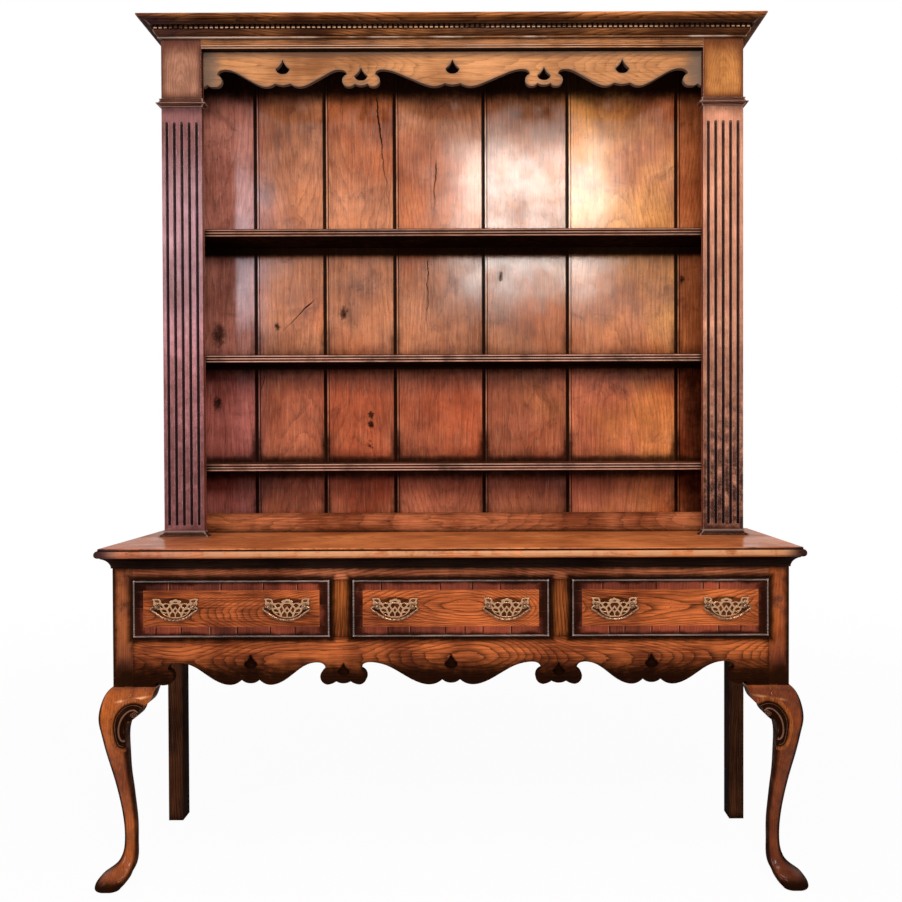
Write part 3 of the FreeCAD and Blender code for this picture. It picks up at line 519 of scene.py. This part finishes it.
def border_lengths():
    """Nodes for one straight run of lengths along X, each with its tone and the distance to its ends."""
    tree = bpy.data.node_groups.new("border_lengths", "GeometryNodeTree")
    for name, kind in (("Count", "Int"), ("Run", "Float"), ("Width", "Float"), ("Thickness", "Float"),
                       ("Joint", "Float"), ("Seed", "Int"), ("Wood", "Material")):
        tree.interface.new_socket(name, in_out="INPUT", socket_type="NodeSocket" + kind)
    tree.interface.new_socket("Lengths", in_out="OUTPUT", socket_type="NodeSocketGeometry")
    given = tree.nodes.new("NodeGroupInput")
    count, run, width, thickness, joint, seed, wood = [Sum(tree, given.outputs[n]) for n in range(7)]
    index = count.node("GeometryNodeInputIndex")

    def chance(number, offset):
        """A value from 0 to 1 that is the same for the same number."""
        return number.node("FunctionNodeRandomValue", {"data_type": "FLOAT"},
                           {2: 0.0, 3: 1.0, 7: number, 8: seed + offset}, 1)

    def cut(number):
        """Place of a joint: evenly spaced, then moved by chance, with both ends kept."""
        inside = number.math("GREATER_THAN", 0.5) * number.math("LESS_THAN", count - 0.5)
        return (number + (chance(number, 0) - 0.5) * 0.75 * inside) * run.math("DIVIDE", count)

    def keep(geometry, name, value):
        """Stores a value for each point of a mesh."""
        return geometry.node("GeometryNodeStoreNamedAttribute", {"data_type": "FLOAT", "domain": "POINT"},
                             {"Geometry": geometry, "Name": name, "Value": value})

    start, end = cut(index), cut(index + 1.0)
    middle = (start + end) * 0.5
    line = count.node("GeometryNodeMeshLine", None, {"Count": count})
    place = middle.node("ShaderNodeCombineXYZ", None, {"X": middle})
    line = line.node("GeometryNodeSetPosition", None, {"Geometry": line, "Position": place})
    line = keep(line, "tone", chance(index, 7))
    line = keep(line, "span", end - start)
    block = line.node("GeometryNodeMeshCube", None, {"Size": (1.0, 1.0, 1.0)})
    block = keep(block, "along", block.node("GeometryNodeInputPosition").axis("X"))
    size = middle.node("ShaderNodeCombineXYZ", None,
                       {"X": end - start - joint, "Y": thickness, "Z": width})
    laid = line.node("GeometryNodeInstanceOnPoints", None,
                     {"Points": line, "Instance": block, "Scale": size})
    laid = laid.node("GeometryNodeRealizeInstances", None, {"Geometry": laid})
    laid = laid.node("GeometryNodeSetMaterial", None, {"Geometry": laid, "Material": wood})
    tree.links.new(laid.socket, tree.nodes.new("NodeGroupOutput").inputs[0])
    return tree


def border_joints(at):
    """Dark joints at both ends of each length, and painted shade towards the outer edge beside the drawer's
    gap.
    """
    along, span = at.stored("along"), at.stored("span")
    ends = 1.0 - ((0.5 - along.math("ABSOLUTE")) * span).rise(0.0002, 0.0022)
    x, z = at.axis("X"), at.axis("Z")
    beside = (OPENING_HALF_WIDTH - x.math("PINGPONG", OPENING_HALF_PITCH)) * 0.42
    inward = beside.math("MINIMUM", OPENING_HALF_HEIGHT - (z - OPENING_Z).math("ABSOLUTE"))
    return ends.most(1.0 - (inward + (at.noise(18.0, 3.0, 0.65) - 0.5) * 0.022).rise(0.004, 0.020))


def border_tones(at, colour):
    """Each length's own tone, with a pale line near each end, scuffed and painted as a highlight."""
    tone, along, span = at.stored("tone"), at.stored("along"), at.stored("span")
    colour = tone.tint(colour, (1.7, 1.55, 1.4))
    line = 1.0 - ((0.5 - along) * span - 0.0028).math("ABSOLUTE").rise(0.0003, 0.0014)
    return (line * 0.5 * at.noise(30.0).rise(0.35, 0.6)).mix(colour, (0.42, 0.2, 0.13, 1))


def border_mesh(name, runs):
    """Joins straight runs: each has its middle, size, way (X or Z), number of lengths and seed."""
    whole = bmesh.new()
    for (x, z), length, width, way, lengths, seed in runs:
        base = bpy.data.objects.new("run", bpy.data.meshes.new("run"))
        bpy.context.scene.collection.objects.link(base)
        maker = base.modifiers.new("lengths", "NODES")
        maker.node_group = border_tree
        values = {"Count": lengths, "Run": length, "Width": width, "Thickness": BORDER_T,
                  "Joint": BORDER_JOINT, "Seed": seed, "Wood": border_oak}
        for item in border_tree.interface.items_tree:
            if item.in_out == "INPUT":
                maker[item.identifier] = values[item.name]
        made = bpy.data.meshes.new_from_object(base.evaluated_get(bpy.context.evaluated_depsgraph_get()))
        turn = Matrix.Rotation(-math.pi / 2, 4, "Y") if way == "Z" else Matrix()
        back = Matrix.Translation((-length / 2, 0, 0))
        made.transform(Matrix.Translation((x, BORDER_Y, z)) @ turn @ back)
        whole.from_mesh(made)
        bpy.data.objects.remove(base)
    bmesh.ops.recalc_face_normals(whole, faces=whole.faces)
    mesh = bpy.data.meshes.new(name)
    whole.to_mesh(mesh)
    whole.free()
    mesh.materials.append(border_oak)
    return mesh


border_tree = border_lengths()
border_oak = oak("oak_borders", "Z", (0.045, 0.010, 0.006), (0.27, 0.058, 0.028), edge=0.0, corner=0.9,
                 reach=0.008, wear_and_glint=0.0, paint=border_tones, soil_and_shade=border_joints, figured=0.3, grain=0.3)
for n, drawer in enumerate(DRAWERS):
    low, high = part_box(drawer + "_banding")
    x, z = (low[0] + high[0]) / 2, (low[2] + high[2]) / 2
    wide, tall = high[0] - low[0], high[2] - low[2]
    runs = [((x, high[2] - BORDER_W / 2), wide, BORDER_W, "X", 5, 11 + n),
            ((x, low[2] + BORDER_W / 2), wide, BORDER_W, "X", 7, 31 + n),
            ((low[0] + BORDER_W / 2, z), tall - 2 * BORDER_W, BORDER_W, "Z", 2, 51 + n),
            ((high[0] - BORDER_W / 2, z), tall - 2 * BORDER_W, BORDER_W, "Z", 2, 71 + n)]
    border = bpy.data.objects.new(drawer + "_border", border_mesh(drawer + "_border", runs))
    bpy.context.scene.collection.objects.link(border)
    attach(border, drawer)
    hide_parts(drawer + "_banding")

# Handles: cast and pierced brass plates, turned posts and swan-neck bails. Pale old brass, bright where
# fingers rub it and brown in the hollows.
BRASS = (0.53, 0.295, 0.16, 1)
TARNISH = (0.014, 0.006, 0.003, 1)


def old_brass(name):
    """Brass tarnished in its hollows, with softened edges and an uneven cast surface."""
    made = bpy.data.materials.new(name)
    made.use_nodes = True
    tree = made.node_tree
    at = Sum(tree).node("ShaderNodeTexCoord", out="Object")
    cloud = at.noise(330.0, 3.0, 0.7)
    shut = 1.0 - at.node("ShaderNodeAmbientOcclusion", {"samples": 8}, {"Distance": 0.006}, "AO")
    rim = 1.0 - at.node("ShaderNodeAmbientOcclusion", {"samples": 8, "inside": True, "only_local": True},
                        {"Distance": 0.0028}, "AO")
    tarnish = (shut * 1.5 + (cloud - 0.5) * 2.2 + 0.45 - rim).rise(-0.05, 0.62)
    colour = tarnish.mix(BRASS, TARNISH)
    surface = tree.nodes["Principled BSDF"]
    tree.links.new(colour.socket, surface.inputs["Base Color"])
    tree.links.new((0.14 + tarnish * 0.35 + cloud * 0.1).socket, surface.inputs["Roughness"])
    tree.links.new((1.0 - tarnish * 0.6).socket, surface.inputs["Metallic"])
    rounded = at.node("ShaderNodeBevel", {"samples": 4}, {"Radius": 0.0012})
    bump = at.node("ShaderNodeBump", None, {"Height": at.noise(260.0, 2.0), "Strength": 0.25,
                                            "Distance": 0.0005, "Normal": rounded})
    tree.links.new(bump.socket, surface.inputs["Normal"])
    return made


brass = old_brass("brass")
for drawer in DRAWERS:
    dress(brass, drawer + "_plates", drawer + "_posts", drawer + "_bail_left", drawer + "_bail_right")

# Rack ends and pilasters: upright boards, the front ones worked with five flutes, with plinth and capital
# mouldings mitred round them. The flutes are painted dark as shade and their ridges pale, scuffed and lit.
PILASTER_X = 0.7485
PILASTER_HALF_WIDTH = 0.0555
FLUTE_HALF_PITCH = 0.01025
FIGURE_Z = 2.075


def pilaster_tones(at, colour):
    """Mottled darker low, yellower above the capital; painted light warm on the right, lilac on the left,
    shade on sides.
    """
    x, z = at.axis("X"), at.axis("Z")
    above = z.rise(2.053, 2.056)
    colour = above.tint(colour, (0.88, 0.76, 0.44))
    across, up = x.math("ABSOLUTE") - PILASTER_X, z - FIGURE_Z
    sweep = (across * across + up * up * 0.06).math("SQRT") * 150.0 + at.noise(26.0, 2.0) * 2.4
    rings = sweep.math("PINGPONG", 0.5).rise(0.1, 0.5) * above * 0.32
    colour = rings.mix(colour, (0.17, 0.062, 0.026, 1))
    # Painted light: the right pilaster warm and golden; the left keeps the painted lilac, less low down and
    # high up.
    right = x.math("GREATER_THAN", 0.0)
    colour = right.tint(colour, (1.38, 1.12, 0.64))
    golden = right * above
    colour = golden.tint(colour, (0.9, 0.95, 0.78))
    ruddy = (1.0 - z.rise(1.25, 1.72)) * (1.0 - right)
    colour = ruddy.tint(colour, (1.04, 0.76, 0.72))
    # Side faces lose the painted lilac and are painted browner and darker as shade.
    front = (at.facing("Y") * -1.0).rise(0.1, 0.6)
    lower = (1.0 - z.rise(0.95, 1.65)) * front
    high = z.rise(1.74, 1.96) * (1.0 - above) * (1.0 - right)
    colour = high.tint(colour, (0.66, 0.52, 0.46))
    # The block above the capital is painted shaded round its lit middle.
    inside = PILASTER_HALF_WIDTH - across.math("ABSOLUTE")
    patches = inside.rise(0.0, 0.026) * up.rise(-0.02, 0.015) * (1.0 - up.rise(0.07, 0.135))
    shaded = (1.0 - patches) * above
    colour = shaded.tint(colour, (0.36, 0.27, 0.27))
    speckled = (at.noise(42.0, 4.0, 0.7) + lower * 0.14).rise(0.36, 0.74)
    darker_low = speckled * (0.25 + lower * (0.4 + right * lower * 0.35))
    colour = darker_low.mix(colour, (0.055, 0.02, 0.013, 1))
    return (1.0 - front).tint(colour, (0.62, 0.4, 0.25))


def flute_shade(at):
    """Painted shade along the bottom of every flute and on the neck under the capital."""
    x, z = at.axis("X"), at.axis("Z")
    across = (x.math("ABSOLUTE") - PILASTER_X).math("PINGPONG", FLUTE_HALF_PITCH)
    flutes = (1.0 - across.rise(0.0024, 0.0052)) * z.rise(0.872, 0.88) * (1.0 - z.rise(1.985, 1.992))
    neck = z.rise(1.992, 2.03) * (1.0 - z.rise(2.052, 2.055)) * 0.6
    return (flutes * (1.0 - z.rise(1.5, 1.9) * 0.1)).most(neck)


# The pinkish-lilac colours and pale lilac arrises are painted cool light from the left, the arrises also
# scuffed.
upright_oak = oak("oak_pilasters", "Z", (0.20, 0.095, 0.095), (0.70, 0.39, 0.42), edge=0.3, wear_and_glint=0.8,
                  reach=0.014, paint=pilaster_tones, soil_and_shade=flute_shade, figured=0.25, grain=0.18, cloud=1.3,
                  grime_and_shade=(0.010, 0.005, 0.006), rub_and_glint=(0.85, 0.62, 0.56))
dress(upright_oak, "pilaster_left", "pilaster_right", "rack_side_left", "rack_side_right")
# The pale arrises of the mouldings are scuffed wood and painted highlights.
moulding_oak = oak("oak_mouldings", "X", (0.05, 0.017, 0.009), (0.22, 0.08, 0.045), edge=0.2, wear_and_glint=0.42,
                   reach=0.015, rub_and_glint=(0.55, 0.37, 0.29))
dress(moulding_oak, "pilaster_mouldings")

# Frieze rail: a plain oak rail between the pilasters over the valance, with two small beads worked along
# its lower edge; the beads are painted pale as highlights and the lines between them black as shade.
GROOVE_SHADE_BLACK = (0.006, 0.0025, 0.0013, 1)
BEAD_Z = 2.195
BEAD_HALF_PITCH = 0.003


def frieze_beads(at, colour):
    """Painted highlights on the crowns of the two beads and painted shade in the lines beside them."""
    z = at.axis("Z")
    beads = 1.0 - z.rise(2.2035, 2.2045)
    off = (z - BEAD_Z).math("PINGPONG", BEAD_HALF_PITCH)
    colour = (beads * off.rise(0.0017, 0.0026)).mix(colour, GROOVE_SHADE_BLACK)
    crowns = beads * (1.0 - off.rise(0.0004, 0.0014)) * at.noise(9.0).rise(0.3, 0.6)
    return crowns.mix(colour, (0.55, 0.33, 0.22, 1))


frieze_oak = oak("oak_frieze", "X", (0.11, 0.04, 0.014), (0.42, 0.17, 0.065), edge=0.2, wear_and_glint=0.2,
                 reach=0.012, paint=frieze_beads, figured=0.4)
dress(frieze_oak, "frieze_rail")

# Shelves: three oak boards with reeded front edges housed between the rack ends, a low rail behind the
# pilasters at the bottom and a dust board at the top.
def reed_crests(at, colour):
    """Reed rounds scuffed and painted pale as highlights, less on the upper shelf; valleys painted black as
    shade.
    """
    y = at.axis("Y")
    dull = 1.0 - at.axis("Z").rise(1.6, 1.65) * 0.5
    rubbed_and_lit = (1.0 - y.rise(0.0804, 0.0812)) * dull * (0.35 + at.noise(14.0, 3.0, 0.7).rise(0.3, 0.6) * 0.65)
    colour = rubbed_and_lit.mix(colour, (0.64, 0.33, 0.235, 1))
    return (y.rise(0.0808, 0.0818) * (1.0 - y.rise(0.0832, 0.0836))).mix(colour, GROOVE_SHADE_BLACK)


def shelf_under_shade(at):
    """Painted shade on the undersides."""
    return (at.facing("Z") * -1.0).rise(0.4, 0.9) * 0.9


shelf_oak = oak("oak_shelves", "X", (0.03, 0.010, 0.005), (0.17, 0.06, 0.025), edge=0.2, wear_and_glint=0.3,
                paint=reed_crests, soil_and_shade=shelf_under_shade)
dress(shelf_oak, "shelf_lower", "shelf_middle", "shelf_upper", "rack_top_board")
rail_oak = oak("oak_bottom_rail", "X", (0.22, 0.054, 0.018), (0.72, 0.232, 0.09), (0.0, 0.3, 0.87), edge=0.7,
               figured=0.5)
dress(rail_oak, "rack_bottom_rail")

# Back boards: seven wide upright planks butted with a bead at each joint and nailed to the shelves. Each
# plank has its own tone, and all are polished where plates have stood against them.
JOINTS = (-0.587, -0.383, -0.176, 0.086, 0.334, 0.655)
TONES = (1.15, 1.05, 1.1, 1.03, 0.86, 1.36, 0.84)
SHELF_SHADOWS = ((1.0245, 0.055, 0.012, 0.85), (1.3285, 0.062, 0.002, 0.75), (1.3285, 0.014, 0.004, 1.1),
              (1.6795, 0.042, 0.012, 1.1))
SHELF_DUST = ((0.866, 0.7), (1.047, 0.85), (1.351, 0.65), (1.702, 0.3))
SHAKES = ((-0.186, 1.75, -0.233, 2.14, 0.005), (-0.0645, 1.74, -0.0524, 1.95, 0.004),
          (-0.0845, 1.372, -0.0767, 1.66, 0.003), (-0.535, 1.41, -0.405, 1.54, 0.006),
          (0.01, 1.93, -0.05, 1.96, 0.006), (-0.589, 1.2026, -0.559, 1.324, 0.003))
KNOTS = ((0.1365, 1.5947, 0.010), (-0.526, 1.4488, 0.011), (-0.33, 1.486, 0.016), (0.67, 1.585, 0.012),
         (-0.70, 1.422, 0.032), (-0.704, 1.221, 0.018), (-0.2485, 1.184, 0.010), (-0.2485, 1.163, 0.012),
         (-0.253, 1.096, 0.009))
FRESH = (0.0, 1.3, 2.9, 4.1, 5.7, 7.2, 8.8)
PITHS = (-0.70, -0.46, -0.30, -0.03, 0.24, 0.47, 0.80)
PITH_Y = 0.34
BOARD_BACK_Y = (0.240, 0.243)
LAST_JOINT = (0.652, 0.658)
BACK_HALF_WIDTH = 0.765


def by_plank(at, values):
    """The value of the plank that a point lies on."""
    across = at.axis("X")
    value = across * 0.0 + values[0]
    for joint, before, after in zip(JOINTS, values, values[1:]):
        value = value + across.math("GREATER_THAN", joint) * (after - before)
    return value


def plank_pith(at):
    """Every plank is from a log of its own."""
    return at.node("ShaderNodeCombineXYZ", None, {"X": by_plank(at, PITHS), "Y": PITH_Y})


def plank_own(at):
    """Coordinates that start anew on every plank."""
    shift = at.node("ShaderNodeCombineXYZ", None, {"Y": by_plank(at, FRESH)})
    return at.node("ShaderNodeVectorMath", {"operation": "ADD"}, {0: at, 1: shift})


def plank_sheen(at):
    """The polish has lasted best on the upper boards, and the back never had any."""
    return (0.25 + at.axis("Z").rise(1.2, 1.55) * 0.75) * (1.0 - at.axis("Y").rise(*BOARD_BACK_Y))


def plank_tones(at, colour):
    """Each plank's tone, cloudy and stained, painted highlights on the beads, painted cool light at left, a
    dull back.
    """
    own = plank_own(at)
    tone = by_plank(at, TONES) * (0.4 + own.noise(5.0, 4.0, 0.65) * 0.65 + own.noise(48.0, 4.0, 0.7) * 0.6)
    red = own.noise(3.0, 2.0).rise(0.42, 0.66)
    colour = red.tint(colour, (0.92, 0.72, 0.58))
    across = at.axis("X")
    warm = across.rise(*LAST_JOINT)
    gold = own.noise(2.6, 3.0).rise(0.38, 0.6) * (0.12 + across.rise(0.05, 0.35) * 0.88) * (1.0 - warm)
    colour = gold.tint(colour, (1.22, 1.42, 0.88))
    grey = tone.node("ShaderNodeCombineColor", None, {0: tone, 1: tone, 2: tone})
    colour = grey.times(colour)
    stain = own.noise(9.0, 4.0, 0.7, 0.6).rise(0.54, 0.76)
    colour = (stain * 0.62).mix(colour, (0.085, 0.019, 0.005, 1))
    lower = 1.0 - at.axis("Z").rise(1.3, 1.42)
    colour = lower.tint(colour, (1.14, 0.87, 0.94))
    fleck = own.scaled(240.0, 240.0, 42.0).noise(1.0, 3.0, 0.75).rise(0.55, 0.72)
    colour = (fleck * 0.46).mix(colour, (0.10, 0.03, 0.012, 1))
    fibre = own.scaled(190.0, 190.0, 13.0).noise(1.0, 2.0, 0.6).rise(0.52, 0.72)
    colour = (fibre * 0.2).mix(colour, (0.80, 0.40, 0.21, 1))
    # A painted highlight along the bead beside each joint.
    for joint in JOINTS:
        bead = 1.0 - (across - joint - 0.0058).math("ABSOLUTE").rise(0.0008, 0.0022)
        colour = (bead * at.noise(11.0, 3.0, 0.6).rise(0.3, 0.62) * 0.6).mix(colour, (0.62, 0.33, 0.2, 1))
    colour = warm.tint(colour, (1.08, 0.85, 0.62))
    # Painted cool light on the left boards.
    cool = 1.0 - across.rise(-0.60, -0.52)
    colour = cool.tint(colour, (0.96, 0.98, 1.7))
    back = at.axis("Y").rise(*BOARD_BACK_Y)
    return back.tint(colour, (0.40, 0.40, 0.36))


def plank_dirt_and_shadow(at):
    """Black joints, shakes and knots, dust over the shelves, painted shadow under the shelves and behind the
    valance.
    """
    x, z = at.axis("X"), at.axis("Z")
    # Painted shadow behind the valance; the lower boards at the right are darker.
    dirt_and_shade = z.rise(2.075, 2.15).most(x.rise(0.62, 0.70) * (1.0 - z.rise(1.28, 1.42)) * 0.75)
    # Painted shadow under every shelf.
    for under, start, full, strength in SHELF_SHADOWS:
        below = z.math("LESS_THAN", under + 0.012)
        dirt_and_shade = dirt_and_shade.most(z.rise(under - start, under - full) * below * strength)
    # A painted shade line in the quirk beside each bead.
    for joint in JOINTS:
        dirt_and_shade = dirt_and_shade.most((1.0 - (x - joint - 0.010).math("ABSOLUTE").rise(0.0006, 0.002)) * 0.8)
    beside = BACK_HALF_WIDTH - x.math("ABSOLUTE")
    for joint in JOINTS:
        beside = beside.math("MINIMUM", (x - joint).math("ABSOLUTE"))
    for over, strength in SHELF_DUST:
        up = z - over
        patches = beside.rise(0.002, 0.034) * up.rise(0.004, 0.04)
        low = up.math("GREATER_THAN", 0.0) * (1.0 - up.rise(0.05, 0.16))
        dirt_and_shade = dirt_and_shade.most((1.0 - patches) * strength * low)
    wander = (at.noise(22.0, 3.0, 0.6) - 0.5) * 0.022
    for x0, z0, x1, z1, width in SHAKES:
        lean = (x1 - x0) / (z1 - z0)
        off = (x - (z - z0) * lean - x0 + wander).math("ABSOLUTE")
        length = z.rise(z0, z0 + 0.03) * (1.0 - z.rise(z1 - 0.03, z1))
        split = (1.0 - off.rise(width * 0.15, width * 0.8)) * length
        dirt_and_shade = dirt_and_shade.most(split * (0.35 + z.rise(z0, z1) * 0.75))
    rough_edge = (at.noise(70.0, 4.0, 0.75) - 0.5) * 0.034
    for x0, z0, size in KNOTS:
        off = ((x - x0) * (x - x0) + (z - z0) * (z - z0) * 0.4).math("SQRT") + rough_edge
        dirt_and_shade = dirt_and_shade.most((1.0 - off.rise(size * 0.1, size * 1.3)) * 0.85)
    dirt_and_shade = dirt_and_shade * (1.0 - at.axis("Y").rise(*BOARD_BACK_Y))
    for joint in JOINTS:
        dirt_and_shade = dirt_and_shade.most((1.0 - (x - joint + 0.001).math("ABSOLUTE").rise(0.0028, 0.0075)) * 1.3)
    return dirt_and_shade


plank_oak = oak("oak_back_boards", "Z", (0.215, 0.062, 0.025), (0.61, 0.225, 0.095), plank_pith, 0.009,
                edge=0.0, wear_and_glint=0.0, reach=0.05, gloss=0.45, coat=1.0, paint=plank_tones, soil_and_shade=plank_dirt_and_shadow,
                figured=0.4, grain=0.42, cloud=1.2, wax=0.14, wavy=1.7, shine=1.47, own=plank_own,
                sheen=plank_sheen)
dress(plank_oak, "back_boards")

# Valance: a thin oak board sawn to a scalloped edge and pierced with spade-shaped drops, fixed behind
# the frieze. Its ends are greyed by handling and painted shade beside the pilasters, and its sawn edge,
# turned from the front, is painted grey-dark as shade.
def valance_ends_shaded_and_handled(at):
    """Both ends are greyed by handling and painted shade beside the pilasters."""
    return at.axis("X").math("ABSOLUTE").rise(0.615, 0.68) * 0.8


valance_oak = oak("oak_valance", "X", (0.22, 0.082, 0.028), (0.57, 0.255, 0.102), (0.0, 0.16, 2.15),
                  0.004, edge=0.85, wear_and_glint=0.0, reach=0.02, soil_and_shade=valance_ends_shaded_and_handled, figured=0.38, grain=0.6,
                  turned_shade=0.9, grime_and_shade=(0.135, 0.095, 0.07), verge=0.013)
dress(valance_oak, "valance")

# Cornice: moulded lengths mitred at the corners, with a strip of small square dentils planted on. The bead
# is painted with highlights and the fascia painted lighter as lit; the hollow above the dentils and the band
# below them are painted black as shade.
def cornice_lines(at, colour):
    """Painted light on the cornice: bead highlights, shade in the hollow and on the band, a lit fascia, a
    shaded left end.
    """
    x, z = at.axis("X"), at.axis("Z")
    bead = 1.0 - z.rise(2.2215, 2.2248)
    colour = (bead * 0.6).mix(colour, (0.16, 0.07, 0.032, 1))
    # Painted highlights along the bead, all along its left part.
    side = 1.0 - x.rise(-0.55, -0.35)
    rubbed_and_lit = bead * at.noise(6.0, 3.0, 0.6).rise(0.46, 0.6).most(side)
    colour = (rubbed_and_lit * 0.85).mix(colour, (0.66, 0.48, 0.36, 1))
    # Painted shade in the hollow above the dentils.
    hollow = z.rise(2.2375, 2.2405) * (1.0 - z.rise(2.2555, 2.2580))
    colour = (hollow * 0.9).mix(colour, (0.022, 0.008, 0.004, 1))
    # The fascia is painted lighter as lit.
    fascia = z.rise(2.2605, 2.2625)
    colour = fascia.tint(colour, (1.5, 1.45, 1.4))
    # Patchy painted shade on the band below the dentils.
    band = z.rise(2.2248, 2.2268) * (1.0 - z.rise(2.2375, 2.2395))
    patches = at.noise(4.0, 3.0, 0.6).rise(0.3, 0.55) * 0.85
    colour = (band * patches).mix(colour, (0.03, 0.009, 0.004, 1))
    # Painted shade at the left end.
    left = (1.0 - x.rise(-0.86, -0.62)) * (1.0 - fascia * 0.6) * 0.75
    return left.mix(colour, (0.03, 0.014, 0.016, 1))


def dentil_lips(at, colour):
    """Only the lower part of each dentil catches the light."""
    lit = (1.0 - at.axis("Z").rise(2.2425, 2.2445)) * at.noise(7.0).rise(0.26, 0.52)
    out = 1.0 - at.axis("Y").rise(0.0380, 0.0390)
    return (lit * out).mix(colour, (0.46, 0.28, 0.165, 1))


cornice_oak = oak("oak_cornice", "X", (0.09, 0.026, 0.008), (0.52, 0.19, 0.058), edge=0.2, wear_and_glint=0.3,
                  reach=0.03, coat=0.12, paint=cornice_lines, rub_and_glint=(0.55, 0.32, 0.2))
dress(cornice_oak, "cornice")
# Near-black colours: the dentils are painted as in the cornice's shade, with only their lower lips lit.
dentil_oak = oak("oak_dentils", "X", (0.012, 0.004, 0.002), (0.07, 0.026, 0.012), edge=0.0, wear_and_glint=0.0,
                 reach=0.008, coat=0.05, paint=dentil_lips)
dress(dentil_oak, "dentil_strip")

# Studio: a pale floor, a soft window-like lamp high in front to the right, a lamp under the ceiling, two
# cool ones from the left and an even white surround. The camera stands in front, at chest height.
FLOOR_HALF = 30


def shown_rays(tree):
    """1 for rays that show a surface to the eye, straight or mirrored, and 0 for rays that light it."""
    path = tree.nodes.new("ShaderNodeLightPath")
    straight, mirrored, through = [Sum(tree, path.outputs["Is " + kind + " Ray"])
                                   for kind in ("Camera", "Glossy", "Transmission")]
    return straight.most(mirrored).most(through)


floor_mesh = bpy.data.meshes.new("floor")
corners = [(x * FLOOR_HALF, y * FLOOR_HALF, 0) for x, y in ((-1, -1), (1, -1), (1, 1), (-1, 1))]
floor_mesh.from_pydata(corners, [], [(0, 1, 2, 3)])
floor = bpy.data.objects.new("floor", floor_mesh)
bpy.context.scene.collection.objects.link(floor)
floor_paint = bpy.data.materials.new("floor_paint")
floor_paint.use_nodes = True
tree = floor_paint.node_tree
surface = tree.nodes["Principled BSDF"]
surface.inputs["Base Color"].default_value = (0.86, 0.86, 0.86, 1)
surface.inputs["Roughness"].default_value = 0.9
shown = shown_rays(tree)
place = shown.node("ShaderNodeTexCoord", out="Object")
far = place.node("ShaderNodeVectorMath", {"operation": "LENGTH"}, {0: place}, "Value").rise(1.0, 5.0)
paper = shown.node("ShaderNodeEmission", None, {"Color": (1, 1, 1, 1), "Strength": 1.0})
seen = shown.node("ShaderNodeMixShader", None,
                  {0: shown * (0.955 + far * 0.045), 1: Sum(tree, surface.outputs[0]), 2: paper})
tree.links.new(seen.socket, tree.nodes["Material Output"].inputs["Surface"])
floor_mesh.materials.append(floor_paint)

world = bpy.data.worlds.new("surround")
world.use_nodes = True
background = world.node_tree.nodes["Background"]
background.inputs["Color"].default_value = (1, 1, 1, 1)
strength = 0.34 + shown_rays(world.node_tree) * 0.66
world.node_tree.links.new(strength.socket, background.inputs["Strength"])
bpy.context.scene.world = world


def lamp(name, place, aim, size, power, colour):
    """A soft rectangular lamp turned towards a point."""
    light = bpy.data.lights.new(name, "AREA")
    light.shape = "RECTANGLE"
    light.size, light.size_y = size
    light.energy = power
    light.color = colour
    made = bpy.data.objects.new(name, light)
    made.location = place
    made.rotation_euler = (Vector(aim) - Vector(place)).to_track_quat("-Z", "Y").to_euler()
    bpy.context.scene.collection.objects.link(made)


lamp("window", (0.38, -2.6, 2.42), (0.1, 0.1, 1.5), (0.9, 0.85), 43.0, (1.0, 0.96, 0.9))
lamp("ceiling", (0.3, -1.5, 3.4), (0.0, 0.1, 1.0), (2.2, 0.8), 36.0, (1.0, 0.95, 0.88))
lamp("left_window", (-2.4, -1.9, 1.5), (-0.7, 0.05, 1.3), (0.6, 1.6), 24.0, (0.78, 0.74, 1.0))
lamp("left_fill", (-1.36, -2.5, 2.2), (-0.4, 0.0, 1.5), (0.3, 0.85), 6.0, (0.9, 0.86, 1.0))

PICTURE_PX = 902
FOCAL_PX = 936.4
SHIFT_PX = -30.47
SENSOR_MM = 36
LOOK_DOWN = 0.708
ROLL = 0.19
camera = bpy.data.cameras.new("camera")
camera.sensor_width = SENSOR_MM
camera.lens = FOCAL_PX / PICTURE_PX * SENSOR_MM
camera.shift_x = SHIFT_PX / PICTURE_PX
eye = bpy.data.objects.new("camera", camera)
eye.location = (0.0775, -2.54, 1.1125)
eye.rotation_euler = (math.radians(90 - LOOK_DOWN), math.radians(ROLL), 0.0)
bpy.context.scene.collection.objects.link(eye)
bpy.context.scene.camera = eye

bpy.context.scene.view_settings.view_transform = "Standard"
